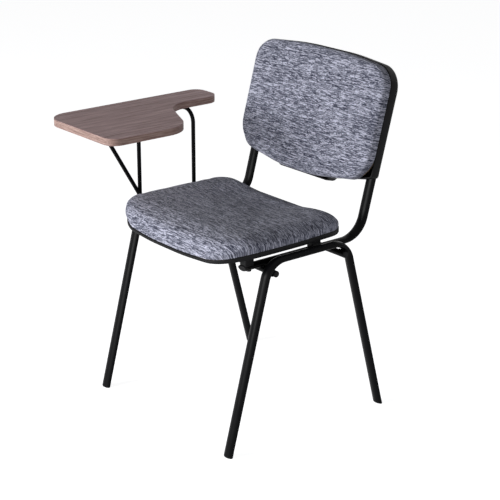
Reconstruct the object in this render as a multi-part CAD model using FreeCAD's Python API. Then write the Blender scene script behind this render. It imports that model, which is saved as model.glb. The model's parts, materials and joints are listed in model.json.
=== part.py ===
# Conference chair with a fixed writing tablet on the sitter's right
# Black oval-tube frame, upholstered seat and back in plastic shells, tablet carried by bent rods
# Millimetres. Modelled with the floor at z = 0, the feet centred on x = 0 and y = 0, the front at -Y
# and the sitter's left at +X. At the end the chair moves so that its overall box is centred.
import FreeCAD, Part
import math
import os
from FreeCAD import Placement, Rotation, Vector

os.makedirs("parts", exist_ok=True)

right = Vector(1, 0, 0)
rearward = Vector(0, 1, 0)
up = Vector(0, 0, 1)
nowhere = Vector(0, 0, 0)

# Oval frame tube: wide way across the chair, narrow way in the plane of its bends
tube_width = 28.0
tube_depth = 14.0
tube_end_radius = 4.2
tube_wall = 1.5
tube_spacing = 6.4

# Facets of the bends, and sides of the small or hidden round forms
bend_facet_count = 6
rod_bend_facet_count = 5
hollow_bend_facet_count = 4
hollow_arc_side_count = 4
small_side_count = 12

# Leg loops, one on each side: two leaning legs and a level run between them
loop_height = 436.5
foot_offset = 229.8
front_leg_lean = 14.83
rear_leg_lean = 14.95
loop_bend_radius = 50.5

# Foot glides: plastic plugs with a flange under the cut tube
glide_flange = 4.0
glide_plug_length = 20.0

# Back rails, one on each side: level under the seat, then up inside the back
rail_drop = 12.2
rail_front = 155.0
rail_rear = 184.8
back_lean = 15.25
rail_bend_radius = 62.0
upright_length = 350.0
rail_cap_length = 8.0
rail_cap_round = 3.0
cap_plug_length = 14.0

# Round crossbars welded under the rails and inside the bends of the loops
crossbar_diameter = 15.0
crossbar_wall = 1.5
crossbar_cap_length = 4.0

# Clearances: welded seats, plugs in tubes, parts side by side, padding on its backing, drilled holes
weld_gap = 0.1
plug_clearance = 0.2
side_clearance = 0.3
padding_gap = 0.3
hole_clearance = 0.3
overrun = 20.0
plane_tolerance = 0.001

# Seat in plan
seat_half_width = 238.0
seat_overhang = 28.3
seat_rear_narrowing = 10.0
seat_front = 212.5
seat_rear = 134.0
seat_waist = 15.0
seat_front_radius = 120.0
seat_waist_radius = 600.0
seat_rear_radius = 55.0

# Seat in height: level from the back to the start of the bend, then falling towards the front
seat_bend_start = 97.0
seat_bend_radius = 291.0
seat_bend_sweep = 40.0
seat_shell_floor = 2.5
seat_shell_wall = 2.5
seat_rim_side = 11.5
rim_bend_start = 102.0
rim_bend_radius = 228.0
seat_board_thickness = 11.0
seat_board_inset = 5.0
seat_top_front = 39.0
seat_top_rear = 39.0
seat_dish = 9.0
seat_dish_start = 60.0
seat_padding_shoulder = 34.0
seat_padding_edge = 46.0
seat_padding_bulge = 0.6
seat_padding_crown = 2.0
seat_padding_side_share = 0.35
seat_bend_station_count = 3

# Seat fixing: moulded blocks on the rails and screws from below into the board
boss_height = 18.7
boss_length = 24.0
boss_forward = 5.0
boss_width = 22.0
seat_screw_front = 143.0
seat_screw_rear = 52.0
seat_screw_diameter = 6.0
seat_screw_head = 12.0
seat_screw_head_height = 3.2
seat_screw_reach = 8.5

# Back outline, measured along the slope of the uprights from the rails' corner
back_overhang = 17.3
back_top = 407.5
back_top_flat = 80.0
back_shoulder_drop = 13.0
back_bow_radius = 700.0
back_top_radius = 58.0
back_foot = 102.5
back_tongue_half_width = 88.0
back_tongue_step = 9.0
back_tongue_slant = 7.0
back_tongue_radius = 12.0
back_heel_inset = 34.0
back_heel = 131.0
back_heel_radius = 80.0
back_foot_corner = 141.0
back_foot_corner_radius = 6.0

# Back padding outline where it differs from the shell: gentler lower corners
padding_foot = 107.5
padding_foot_flat = 60.0
padding_foot_radius = 500.0
padding_cheek_inset = 37.0
padding_cheek = 127.0
padding_cheek_radius = 40.0
padding_side_start = 171.0
padding_side_radius = 60.0

# Back in depth, measured forwards from the middle plane of the uprights
back_shell_wall = 2.5
back_shell_side_round = 9.5
back_shell_end_round = 4.5
back_rim = 18.3
back_board_thickness = 11.0
back_board_inset = 6.0
back_padding_thickness = 34.0
back_padding_shoulder = 52.0

# Inside the back shell: ribs that make the sockets, cross ribs and screws
socket_rib_thickness = 2.0
socket_rib_start = 150.0
socket_rib_end = 335.0
cross_rib_thickness = 2.0
cross_rib_height = 10.0
cross_rib_low = 172.0
cross_rib_high = 332.0
cross_rib_count = 3
back_screw_diameter = 4.8
back_screw_head = 9.5
back_screw_head_height = 2.6
back_screw_low = 168.0
back_screw_high = 318.0
back_screw_reach = 9.0

# Writing tablet: a paddle with a forearm rest running back from its outer side
tablet_overhang = 126.4
tablet_width = 278.5
tablet_arm_width = 93.5
tablet_front = 293.5
tablet_rear = 159.0
tablet_slant_inner = 80.9
tablet_slant_outer = 1.3
tablet_outer_front_radius = 39.0
tablet_inner_front_radius = 32.0
tablet_inner_rear_radius = 77.0
tablet_hollow_radius = 80.0
tablet_arm_inner_radius = 35.0
tablet_arm_outer_radius = 28.0
tablet_rise = 235.5
tablet_thickness = 17.0
edge_band_thickness = 1.5

# Rods that carry the tablet
rod_diameter = 10.0
arch_rear = 66.0
arch_front = 98.0
arch_reach = 63.0
arch_post_radius = 32.0
arch_plan_radius = 30.0
brace_foot_rise = 15.8
brace_lean = 30.15

# Plate that lies on the right leg loop and is bolted down through it
plate_thickness = 4.0
plate_front = 112.0
plate_rear = 80.0
plate_round = 6.0
plate_inner_margin = 2.0
post_tail = 6.0
arm_bolt_spacing = 88.0
arm_bolt_diameter = 6.0
arm_bolt_head = 8.5
arm_bolt_head_height = 3.3
arm_bolt_spare = 2.5
arm_nut_width = 10.0
arm_nut_height = 5.0
washer_diameter = 12.0
washer_thickness = 1.2

# Lugs welded to the rods and screwed to the tablet
lug_thickness = 3.0
lug_length = 26.0
lug_width = 22.0
lug_round = 5.0
lug_spacing = 68.0
brace_lug_length = 46.0
brace_lug_screw_spacing = 30.0
wood_screw_diameter = 4.0
wood_screw_head = 8.0
wood_screw_head_height = 2.4
wood_screw_depth = 12.0


# Places and sizes that follow from those above
rail_offset = seat_half_width - seat_overhang
rail_height = loop_height - rail_drop
loop_offset = rail_offset + tube_width + tube_spacing
crossbar_length = 2 * (loop_offset + tube_width / 2 - crossbar_cap_length)
seat_rear_half_width = seat_half_width - seat_rear_narrowing
seat_shell_underside = rail_height + tube_depth / 2 + boss_height
back_half_width = rail_offset + back_overhang
back_heel_half_width = back_half_width - back_heel_inset
padding_cheek_half_width = back_half_width - padding_cheek_inset
tablet_outer = loop_offset + tablet_overhang
tablet_inner = tablet_outer - tablet_width
tablet_top = loop_height + tablet_rise
tablet_arm_inner = tablet_outer - tablet_arm_width


# Shapes of runs, outlines and sections

# Solid of one section along straight runs, joined by bends of the given radii made of short facets
def bent_solid(corners, radii, section, facet_count):
    outline = section(corners[0], (corners[1] - corners[0]).normalize()).OuterWire
    stations = [outline]
    here = corners[0]
    for before, corner, after, radius in zip(corners, corners[1:], corners[2:], radii):
        towards_before = (before - corner).normalize()
        towards_after = (after - corner).normalize()
        turn = math.pi - towards_before.getAngle(towards_after)
        reach = radius * math.tan(turn / 2)
        inward = (towards_before + towards_after).normalize()
        bend_centre = corner + inward * (radius / math.cos(turn / 2))
        axis = towards_after.cross(towards_before)
        outline = outline.copy()
        outline.translate(corner + towards_before * reach - here)
        stations.append(outline)
        for facet in range(facet_count):
            outline = outline.copy()
            outline.rotate(bend_centre, axis, math.degrees(turn) / facet_count)
            stations.append(outline)
        here = corner + towards_after * reach
    outline = outline.copy()
    outline.translate(corners[-1] - here)
    stations.append(outline)
    return Part.makeLoft(stations, True, True)


# Closed outline in the XY plane through corners (x, y, radius), straight between its rounded corners
def rounded_outline(corners):
    edges = []
    count = len(corners)
    points = [Vector(x, y, 0) for x, y, radius in corners]
    stops = []
    for index in range(count):
        corner = points[index]
        towards_before = (points[index - 1] - corner).normalize()
        towards_after = (points[(index + 1) % count] - corner).normalize()
        radius = corners[index][2]
        half_turn = (math.pi - towards_before.getAngle(towards_after)) / 2
        reach = radius * math.tan(half_turn)
        inward = (towards_before + towards_after).normalize()
        middle = corner + inward * (radius / math.cos(half_turn) - radius)
        stops.append((corner + towards_before * reach, middle, corner + towards_after * reach, radius))
    for index in range(count):
        arc_start, middle, arc_end, radius = stops[index]
        if radius > 0:
            edges.append(Part.Arc(arc_start, middle, arc_end).toShape())
        edges.append(Part.makeLine(arc_end, stops[(index + 1) % count][0]))
    return Part.Wire(edges)


# The same corners for the other half of a symmetrical outline, in turning order
def with_mirror_half(half):
    return half + [(-x, y, radius) for x, y, radius in reversed(half)]


# Corners drawn in towards the centre, by an inset at the sides and another one at the ends
def drawn_in(corners, centre_y, half_width, half_height, side_inset, end_inset):
    across = 1 - side_inset / half_width
    along = 1 - end_inset / half_height
    return [
        (x * across, centre_y + (y - centre_y) * along, radius * min(across, along))
        for x, y, radius in corners
    ]


# Straight-sided solid on an outline, between two heights
def prism(outline, low, high):
    solid = Part.Face(outline).extrude(up * (high - low))
    solid.translate(up * low)
    return solid


# Radius of the oval's flatter sides, tangent to its ends
tube_side_radius = (
    ((tube_width / 2 - tube_end_radius) ** 2 + (tube_depth / 2) ** 2 - tube_end_radius ** 2)
    / (tube_depth - 2 * tube_end_radius)
)


# Oval of the frame tube, made of four arcs, around a point and square to a direction in the YZ plane
def oval(centre, direction, shrink=0):
    half_width = tube_width / 2 - shrink
    half_depth = tube_depth / 2 - shrink
    side_radius = tube_side_radius - shrink
    side_centre = side_radius - half_depth
    angle = math.atan2(side_centre, tube_width / 2 - tube_end_radius)
    x = side_radius * math.cos(angle)
    y = side_radius * math.sin(angle) - side_centre
    joints = [Vector(x, -y, 0), Vector(x, y, 0), Vector(-x, y, 0), Vector(-x, -y, 0)]
    middles = [Vector(half_width, 0, 0), Vector(0, half_depth, 0), Vector(-half_width, 0, 0),
               Vector(0, -half_depth, 0)]
    arcs = [Part.Arc(joints[turn], middles[turn], joints[(turn + 1) % 4]).toShape() for turn in range(4)]
    outline = Part.Wire(arcs)
    outline.Placement = Placement(centre, Rotation(right, math.degrees(math.atan2(-direction.y, direction.z))))
    return Part.Face(outline)


# The same oval in short straight sides, for the hollow of the tube and for the plugs in it
def hidden_oval(centre, direction, shrink=tube_wall):
    points = []
    for arc in oval(centre, direction, shrink).OuterWire.Edges:
        points += arc.discretize(hollow_arc_side_count + 1)[:-1]
    return Part.Face(Part.makePolygon(points + points[:1]))


# Hollow oval tube along bends that all lie in a YZ plane
def oval_tube(corners, radii):
    outside = bent_solid(corners, radii, oval, bend_facet_count)
    return outside.cut(bent_solid(corners, radii, hidden_oval, hollow_bend_facet_count))


# Disc of the rod around a point, square to a direction
def rod_disc(centre, direction):
    return Part.Face(Part.Wire(Part.Circle(centre, direction, rod_diameter / 2).toShape()))


# Cylinder of a diameter from one point to another
def pin(start, end, diameter):
    return Part.makeCylinder(diameter / 2, start.distanceToPoint(end), start, end - start)


# Prism with a few sides in place of a small or hidden cylinder
def small_pin(start, end, diameter):
    corners = []
    for side in range(small_side_count + 1):
        angle = 2 * math.pi * side / small_side_count
        corners.append(Vector(math.cos(angle), math.sin(angle), 0) * (diameter / 2))
    outline = Part.makePolygon(corners)
    outline.Placement = Placement(start, Rotation(up, end - start))
    return Part.Face(outline).extrude(end - start)


# Slab that keeps what lies between two heights
def between_heights(low, high):
    side = 2 * (tablet_outer + loop_offset)
    return Part.makeBox(side, side, high - low, Vector(-side / 2, -side / 2, low))


def rounded_rectangle(centre_x, centre_y, size_x, size_y, radius):
    return rounded_outline([
        (centre_x + size_x / 2, centre_y - size_y / 2, radius),
        (centre_x + size_x / 2, centre_y + size_y / 2, radius),
        (centre_x - size_x / 2, centre_y + size_y / 2, radius),
        (centre_x - size_x / 2, centre_y - size_y / 2, radius),
    ])


# Edges of a solid that lie in the plane through a point, square to a direction
def edges_in_plane(solid, point, direction):
    level = []
    for edge in solid.Edges:
        ends = [corner.Point for corner in edge.Vertexes]
        if all(abs((end - point).dot(direction)) < plane_tolerance for end in ends):
            level.append(edge)
    return level


# Screw with a cylindrical head: the shank starts at the seat of the head and runs to the tip
def headed_screw(seat, tip, shank, head, head_height):
    direction = (tip - seat).normalize()
    top = seat - direction * head_height
    return small_pin(top, seat, head).fuse(small_pin(seat, tip, shank)).removeSplitter()


# Leg loops

front_lean = math.radians(front_leg_lean)
rear_lean = math.radians(rear_leg_lean)
loop_front_corner = -foot_offset + loop_height * math.tan(front_lean)
loop_rear_corner = foot_offset - loop_height * math.tan(rear_lean)


def loop_corners(side):
    x = side * loop_offset
    below_front = -foot_offset - overrun * math.tan(front_lean)
    below_rear = foot_offset + overrun * math.tan(rear_lean)
    return [
        Vector(x, below_front, -overrun),
        Vector(x, loop_front_corner, loop_height),
        Vector(x, loop_rear_corner, loop_height),
        Vector(x, below_rear, -overrun),
    ]


def front_leg_direction():
    return Vector(0, math.sin(front_lean), math.cos(front_lean))


def rear_leg_direction():
    return Vector(0, -math.sin(rear_lean), math.cos(rear_lean))


def leg_loop(side):
    tube = oval_tube(loop_corners(side), [loop_bend_radius, loop_bend_radius])
    return tube.common(between_heights(glide_flange, loop_height + tube_depth))


# Plug in one leg, with a flange of the tube's own outline under it
def foot_glide(side, foot_y, direction):
    foot = Vector(side * loop_offset, foot_y, 0)
    below = foot - direction * overrun
    length = 2 * overrun + glide_plug_length
    flange = oval(below, direction).extrude(direction * length)
    plug = hidden_oval(below, direction, tube_wall + plug_clearance).extrude(direction * length)
    flange = flange.common(between_heights(0, glide_flange))
    plug = plug.common(between_heights(glide_flange / 2, glide_flange + glide_plug_length))
    return flange.fuse(plug).removeSplitter()


def foot_glides():
    glides = []
    for side in (-1, 1):
        glides.append(foot_glide(side, -foot_offset, front_leg_direction()))
        glides.append(foot_glide(side, foot_offset, rear_leg_direction()))
    return Part.makeCompound(glides)


# Back rails

back_slope = math.radians(back_lean)
upright_direction = Vector(0, math.sin(back_slope), math.cos(back_slope))
rail_top = rail_height + tube_depth / 2
rail_underside = rail_height - tube_depth / 2


# Frame of the back: x across, y up the slope, z forwards out of the sitter's side
back_frame = Placement(Vector(0, rail_rear, rail_height), Rotation(right, 90 - back_lean))


def on_the_back(shape):
    placed = shape.copy()
    placed.Placement = back_frame.multiply(placed.Placement)
    return placed


def rail_corners(side):
    x = side * rail_offset
    corner = Vector(x, rail_rear, rail_height)
    return [Vector(x, -rail_front, rail_height), corner, corner + upright_direction * upright_length]


# Places of the screws that hold the seat, as (side, y)
seat_screw_places = [(side, y) for side in (-1, 1) for y in (-seat_screw_front, seat_screw_rear)]

# Places of the screws that hold the back, as (side, distance up the slope)
back_screw_places = [(side, y) for side in (-1, 1) for y in (back_screw_low, back_screw_high)]


def back_rail(side):
    tube = oval_tube(rail_corners(side), [rail_bend_radius])
    for screw_side, y in seat_screw_places:
        if screw_side == side:
            low = Vector(side * rail_offset, y, rail_underside - overrun)
            top = low + up * (tube_depth + 2 * overrun)
            tube = tube.cut(small_pin(low, top, seat_screw_diameter + hole_clearance))
    for screw_side, y in back_screw_places:
        if screw_side == side:
            behind = Vector(side * rail_offset, y, -overrun)
            hole = small_pin(behind, behind + up * 2 * overrun, back_screw_diameter + hole_clearance)
            tube = tube.cut(on_the_back(hole))
    return tube


# Rounded plastic ends of the rails, with plugs that leave room for the screws through the rails
def rail_front_caps():
    caps = []
    for side in (-1, 1):
        end = Vector(side * rail_offset, -rail_front, rail_height)
        face = end - rearward * rail_cap_length
        head = oval(face, rearward).extrude(end - face)
        head = head.makeChamfer(rail_cap_round, edges_in_plane(head, face, rearward))
        plug = hidden_oval(end - rearward * rail_cap_length / 2, rearward, tube_wall + plug_clearance)
        plug = plug.extrude(rearward * (rail_cap_length / 2 + cap_plug_length))
        passage = Vector(side * rail_offset, -seat_screw_front, rail_underside)
        passage = small_pin(passage, passage + up * tube_depth, seat_screw_diameter + 2 * hole_clearance)
        caps.append(head.fuse(plug).removeSplitter().cut(passage))
    return Part.makeCompound(caps)


# Crossbars

crossbar_height = rail_underside - weld_gap - crossbar_diameter / 2


# Distance from the middle at which a crossbar lies snug inside a bend of the loops
def crossbar_offset(corner, lean):
    half_turn = (math.pi / 2 - lean) / 2
    bend_centre = abs(corner) - loop_bend_radius * math.tan(half_turn)
    drop = crossbar_height - (loop_height - loop_bend_radius)
    inner_wall = (loop_bend_radius - tube_depth / 2) * math.cos(half_turn / bend_facet_count)
    from_centre = inner_wall - crossbar_diameter / 2 - weld_gap
    return bend_centre + math.sqrt(from_centre ** 2 - drop ** 2)


crossbar_front = -crossbar_offset(loop_front_corner, front_lean)
crossbar_rear = crossbar_offset(loop_rear_corner, rear_lean)


def crossbar(y):
    left = Vector(crossbar_length / 2, y, crossbar_height)
    far = Vector(-crossbar_length / 2, y, crossbar_height)
    return pin(far, left, crossbar_diameter).cut(small_pin(far, left, crossbar_diameter - 2 * crossbar_wall))


def crossbar_caps():
    caps = []
    for y in (crossbar_front, crossbar_rear):
        for side in (-1, 1):
            end = Vector(side * crossbar_length / 2, y, crossbar_height)
            head = pin(end, end + right * side * crossbar_cap_length, crossbar_diameter)
            bore = crossbar_diameter - 2 * crossbar_wall - 2 * plug_clearance
            plug = small_pin(end - right * side * cap_plug_length, end + right * side * crossbar_cap_length / 2, bore)
            caps.append(head.fuse(plug).removeSplitter())
    return Part.makeCompound(caps)


# Seat

seat_middle = (seat_rear - seat_front) / 2
seat_half_depth = (seat_rear + seat_front) / 2
seat_board_underside = seat_shell_underside + seat_shell_floor

seat_corners = with_mirror_half([
    (seat_half_width, -seat_front, seat_front_radius),
    (seat_half_width, -seat_waist, seat_waist_radius),
    (seat_rear_half_width, seat_rear, seat_rear_radius),
])


def seat_outline(inset):
    return rounded_outline(drawn_in(seat_corners, seat_middle, seat_half_width, seat_half_depth, inset, inset))


# Region between two heights over a level base that bends down in front of a line
def bent_layer(bend_start, bend_radius, base, low, high):
    centre = Vector(-seat_half_width - overrun, -bend_start, base - bend_radius)

    def on_the_bend(height, degrees):
        angle = math.radians(degrees)
        return centre + Vector(0, -math.sin(angle), math.cos(angle)) * (bend_radius + height)

    def behind(height):
        return on_the_bend(height, 0) + rearward * (bend_start + seat_rear + overrun)

    profile = Part.Wire([
        Part.makeLine(behind(low), on_the_bend(low, 0)),
        Part.Arc(on_the_bend(low, 0), on_the_bend(low, seat_bend_sweep / 2),
                 on_the_bend(low, seat_bend_sweep)).toShape(),
        Part.makeLine(on_the_bend(low, seat_bend_sweep), on_the_bend(high, seat_bend_sweep)),
        Part.Arc(on_the_bend(high, seat_bend_sweep), on_the_bend(high, seat_bend_sweep / 2),
                 on_the_bend(high, 0)).toShape(),
        Part.makeLine(on_the_bend(high, 0), behind(high)),
        Part.makeLine(behind(high), behind(low)),
    ])
    return Part.Face(profile).extrude(right * 2 * (seat_half_width + overrun))


# Region between two heights over the underside of the seat
def seat_layer(low, high):
    return bent_layer(seat_bend_start, seat_bend_radius, seat_shell_underside, low, high)


# Everything above the rim of the seat shell, which is lower along the front
def above_seat_rim():
    return bent_layer(rim_bend_start, rim_bend_radius, seat_shell_underside + seat_rim_side, 0, seat_half_depth)


# Fall of the seat's surfaces at a distance behind its middle
def seat_drop(y):
    bend_depth = max(0, -seat_bend_start - y)
    return seat_bend_radius - math.sqrt(seat_bend_radius ** 2 - bend_depth ** 2)


# Height that the hole for a screw reaches inside the board
def seat_screw_hole_top(y):
    return seat_board_underside - seat_drop(y) + seat_screw_reach


# Upright prism on an outline of the seat, taller than the seat both ways
def seat_column(inset):
    return prism(seat_outline(inset), seat_shell_underside - seat_half_depth,
                 seat_shell_underside + seat_half_depth)


# Moulded block between the shell and a rail, hollowed below to sit on the oval tube
def seat_boss(side, y):
    x = side * rail_offset
    middle = y - boss_forward
    block = Part.makeBox(boss_width, boss_length, seat_board_underside - rail_height,
                         Vector(x - boss_width / 2, middle - boss_length / 2, rail_height))
    rail_room = oval(Vector(x, middle - boss_length, rail_height), rearward, -side_clearance / 2)
    block = block.cut(seat_layer(seat_shell_floor / 2, seat_half_depth))
    return block.cut(rail_room.extrude(rearward * 2 * boss_length))


def seat_shell():
    pan = seat_column(0).common(seat_layer(0, seat_rim_side + overrun))
    pan = pan.cut(seat_column(seat_shell_wall).common(seat_layer(seat_shell_floor, seat_half_depth)))
    pan = pan.cut(above_seat_rim())
    for side, y in seat_screw_places:
        pan = pan.fuse(seat_boss(side, y))
    pan = pan.removeSplitter()
    for side, y in seat_screw_places:
        low = Vector(side * rail_offset, y, rail_height)
        top = Vector(side * rail_offset, y, seat_board_underside)
        pan = pan.cut(small_pin(low, top, seat_screw_diameter + 2 * hole_clearance))
    return pan


def seat_board():
    board = seat_column(seat_board_inset)
    board = board.common(seat_layer(seat_shell_floor, seat_shell_floor + seat_board_thickness))
    for side, y in seat_screw_places:
        top = Vector(side * rail_offset, y, seat_screw_hole_top(y))
        board = board.cut(small_pin(top - up * 2 * seat_board_thickness, top, seat_screw_diameter + weld_gap))
    return board


def seat_screws():
    screws = []
    for side, y in seat_screw_places:
        seat = Vector(side * rail_offset, y, rail_underside - side_clearance)
        tip = Vector(side * rail_offset, y, seat_screw_hole_top(y) - padding_gap)
        screws.append(headed_screw(seat, tip, seat_screw_diameter, seat_screw_head, seat_screw_head_height))
    return Part.makeCompound(screws)


# Depths of the sections near the padding's ends, as shares of its edge, with shares of the full height
seat_end_shares = [
    (0.00, 0.44),
    (0.11, 0.69),
    (0.36, 0.89),
    (1.00, 1.00),
]


# Half of the seat's width at a distance behind its middle
def seat_half_width_at(y):
    narrowing = max(0, (y + seat_waist) / (seat_rear + seat_waist))
    side = seat_half_width + (seat_rear_half_width - seat_half_width) * narrowing
    front_depth = max(0, seat_front_radius - seat_front - y)
    rear_depth = max(0, y - seat_rear + seat_rear_radius)
    front_loss = seat_front_radius - math.sqrt(seat_front_radius ** 2 - front_depth ** 2)
    rear_loss = seat_rear_radius - math.sqrt(seat_rear_radius ** 2 - rear_depth ** 2)
    return side - front_loss - rear_loss


# Cross-section of the padding: straight below, drawn in at the sides, rounded shoulders, then a top
# that is crowned in front and dished behind
def seat_section(y, height_share):
    rim_depth = max(0, -rim_bend_start - y)
    rim_drop = rim_bend_radius - math.sqrt(rim_bend_radius ** 2 - rim_depth ** 2)
    base = seat_shell_underside + seat_rim_side + padding_gap - rim_drop
    rear_share = max(0, (y + seat_bend_start) / (seat_rear + seat_bend_start))
    top = seat_shell_underside - seat_drop(y) + seat_top_front + (seat_top_rear - seat_top_front) * rear_share
    height = height_share * (top - base)
    dish_share = min(1, max(0, (y + seat_dish_start) / seat_rear))
    middle_height = height - height_share * seat_dish * dish_share
    half_width = seat_half_width_at(y)
    side = height * seat_padding_side_share
    fall = height - seat_padding_crown - side
    radius = (seat_padding_shoulder ** 2 + fall ** 2) / (2 * fall)
    half_angle = math.asin(seat_padding_shoulder / radius) / 2
    middle_x = half_width - seat_padding_shoulder + radius * math.sin(half_angle)
    middle_z = height - seat_padding_crown - radius * (1 - math.cos(half_angle))

    def at(x, z):
        return Vector(x, y, base + z)

    inner = half_width - seat_padding_shoulder
    crown_side = height - seat_padding_crown
    edges = [
        Part.makeLine(at(-half_width, 0), at(half_width, 0)),
        Part.Arc(at(half_width, 0), at(half_width + seat_padding_bulge, side / 2), at(half_width, side)).toShape(),
        Part.Arc(at(half_width, side), at(middle_x, middle_z), at(inner, crown_side)).toShape(),
        Part.Arc(at(inner, crown_side), at(0, middle_height), at(-inner, crown_side)).toShape(),
        Part.Arc(at(-inner, crown_side), at(-middle_x, middle_z), at(-half_width, side)).toShape(),
        Part.Arc(at(-half_width, side), at(-half_width - seat_padding_bulge, side / 2),
                 at(-half_width, 0)).toShape(),
    ]
    return Part.Wire(edges)


# Padding that follows the bent seat, hollowed underneath for the board that it is wrapped round
def seat_cushion():
    stations = [(seat_padding_edge * depth - seat_front, height) for depth, height in seat_end_shares]
    bend_length = seat_front - seat_padding_edge - rim_bend_start
    for number in range(seat_bend_station_count):
        stations.append((-rim_bend_start - bend_length * (1 - (number + 1) / seat_bend_station_count), 1))
    stations.append((-seat_waist, 1))
    stations += [(seat_rear - seat_padding_edge * depth, height) for depth, height in reversed(seat_end_shares)]
    cushion = Part.makeLoft([seat_section(y, height) for y, height in stations], True, True)
    room = seat_column(seat_board_inset - padding_gap)
    return cushion.cut(room.common(seat_layer(0, seat_shell_floor + seat_board_thickness + padding_gap)))


# Back

back_top_middle = (back_top + back_foot) / 2
back_half_height = (back_top - back_foot) / 2
back_rear = -(tube_depth / 2 + side_clearance + back_shell_wall)
back_board_rear = back_rim - back_board_thickness

back_head_corners = [
    (back_half_width, back_top - back_shoulder_drop, back_top_radius),
    (back_top_flat, back_top, back_bow_radius),
]
back_shell_corners = with_mirror_half([
    (back_tongue_half_width, back_foot, back_tongue_radius),
    (back_tongue_half_width + back_tongue_slant, back_foot + back_tongue_step, back_tongue_radius),
    (back_heel_half_width, back_heel, back_heel_radius),
    (back_half_width, back_foot_corner, back_foot_corner_radius),
] + back_head_corners)
back_padding_corners = with_mirror_half([
    (padding_foot_flat, padding_foot, padding_foot_radius),
    (padding_cheek_half_width, padding_cheek, padding_cheek_radius),
    (back_half_width, padding_side_start, padding_side_radius),
] + back_head_corners)


def back_outline(corners, side_inset, end_inset):
    return rounded_outline(drawn_in(corners, back_top_middle, back_half_width, back_half_height,
                                    side_inset, end_inset))


# Room for an upright and its clearance, all along the slope
def upright_passage(side, low, high):
    centre = Vector(side * rail_offset, 0, 0)
    return oval(centre + rearward * low, rearward, -side_clearance).extrude(rearward * (high - low))


# Two ribs beside each upright that make its socket, joined across by thinner ribs
def back_ribs():
    floor = back_rear + back_shell_wall / 2
    ribs = []
    socket_inner = rail_offset - tube_width / 2 - side_clearance
    for side in (-1, 1):
        near = side * socket_inner
        low_x = min(near, near - side * socket_rib_thickness)
        ribs.append(Part.makeBox(socket_rib_thickness, socket_rib_end - socket_rib_start,
                                 back_board_rear - side_clearance - floor,
                                 Vector(low_x, socket_rib_start, floor)))
    for number in range(cross_rib_count):
        y = cross_rib_low + (cross_rib_high - cross_rib_low) * number / (cross_rib_count - 1)
        ribs.append(Part.makeBox(2 * socket_inner, cross_rib_thickness, cross_rib_height,
                                 Vector(-socket_inner, y - cross_rib_thickness / 2, floor)))
    return ribs


# Solid on the shell's outline, drawn in by an inset, with a rear edge that slopes more at the sides
def back_dish(inset, rear, front):
    outlines = []
    for height, slope_share in ((front, 0), (rear + back_shell_side_round - inset, 0), (rear, 1)):
        outline = back_outline(back_shell_corners, inset + slope_share * (back_shell_side_round - inset),
                               inset + slope_share * (back_shell_end_round - inset))
        outline.translate(up * height)
        outlines.append(outline)
    return Part.makeLoft(outlines, True, True)


def back_shell():
    pan = back_dish(0, back_rear, back_rim)
    pan = pan.cut(back_dish(back_shell_wall, back_rear + back_shell_wall, back_rim + overrun))
    for rib in back_ribs():
        pan = pan.fuse(rib)
    pan = pan.removeSplitter()
    for side in (-1, 1):
        pan = pan.cut(upright_passage(side, 0, upright_length + rail_cap_length))
    for side, y in back_screw_places:
        behind = Vector(side * rail_offset, y, back_rear - overrun)
        pan = pan.cut(small_pin(behind, behind + up * 2 * overrun, back_screw_diameter + hole_clearance))
    return on_the_back(pan)


def back_board():
    board = prism(back_outline(back_padding_corners, back_board_inset, back_board_inset), back_board_rear, back_rim)
    for side, y in back_screw_places:
        face = Vector(side * rail_offset, y, back_board_rear)
        tip = face + up * back_screw_reach
        board = board.cut(small_pin(face - up * overrun, tip, back_screw_diameter + weld_gap))
    return on_the_back(board)


def back_screws():
    screws = []
    for side, y in back_screw_places:
        seat = Vector(side * rail_offset, y, back_rear)
        tip = Vector(side * rail_offset, y, back_board_rear + back_screw_reach - padding_gap)
        screws.append(headed_screw(seat, tip, back_screw_diameter, back_screw_head, back_screw_head_height))
    return on_the_back(Part.makeCompound(screws))


# Sections of the back padding, from the rim of the shell forwards, as shares of shoulder and thickness
back_section_shares = [
    (0.03, 0.00),
    (-0.05, 0.26),
    (-0.05, 0.50),
    (0.03, 0.74),
    (0.27, 0.92),
    (1.00, 1.00),
]


def back_cushion():
    sections = []
    for inset_share, depth_share in back_section_shares:
        inset = inset_share * back_padding_shoulder
        section = back_outline(back_padding_corners, inset, max(0, inset))
        section.translate(up * (back_rim + padding_gap + depth_share * back_padding_thickness))
        sections.append(section)
    return on_the_back(Part.makeLoft(sections, True, True))


# Writing tablet

tablet_underside = tablet_top - tablet_thickness
tablet_corners = [
    (-tablet_outer, -tablet_front, tablet_outer_front_radius),
    (-tablet_inner, -tablet_front, tablet_inner_front_radius),
    (-tablet_inner, -tablet_slant_inner, tablet_inner_rear_radius),
    (-tablet_arm_inner, tablet_slant_outer, tablet_hollow_radius),
    (-tablet_arm_inner, tablet_rear, tablet_arm_inner_radius),
    (-tablet_outer, tablet_rear, tablet_arm_outer_radius),
]


def tablet_solid(inset, low, high):
    outline = rounded_outline(tablet_corners)
    if inset > 0:
        outline = outline.makeOffset2D(-inset)
    return prism(outline, low, high)


def tablet_board():
    board = tablet_solid(edge_band_thickness, tablet_underside, tablet_top)
    for x, y in wood_screw_places:
        face = Vector(x, y, tablet_underside)
        low = face - up * overrun
        board = board.cut(small_pin(low, face + up * wood_screw_depth, wood_screw_diameter + weld_gap))
    return board


def tablet_edge_band():
    band = tablet_solid(0, tablet_underside, tablet_top)
    return band.cut(tablet_solid(edge_band_thickness, tablet_underside - overrun, tablet_top + overrun))


# Rods under the tablet

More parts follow.
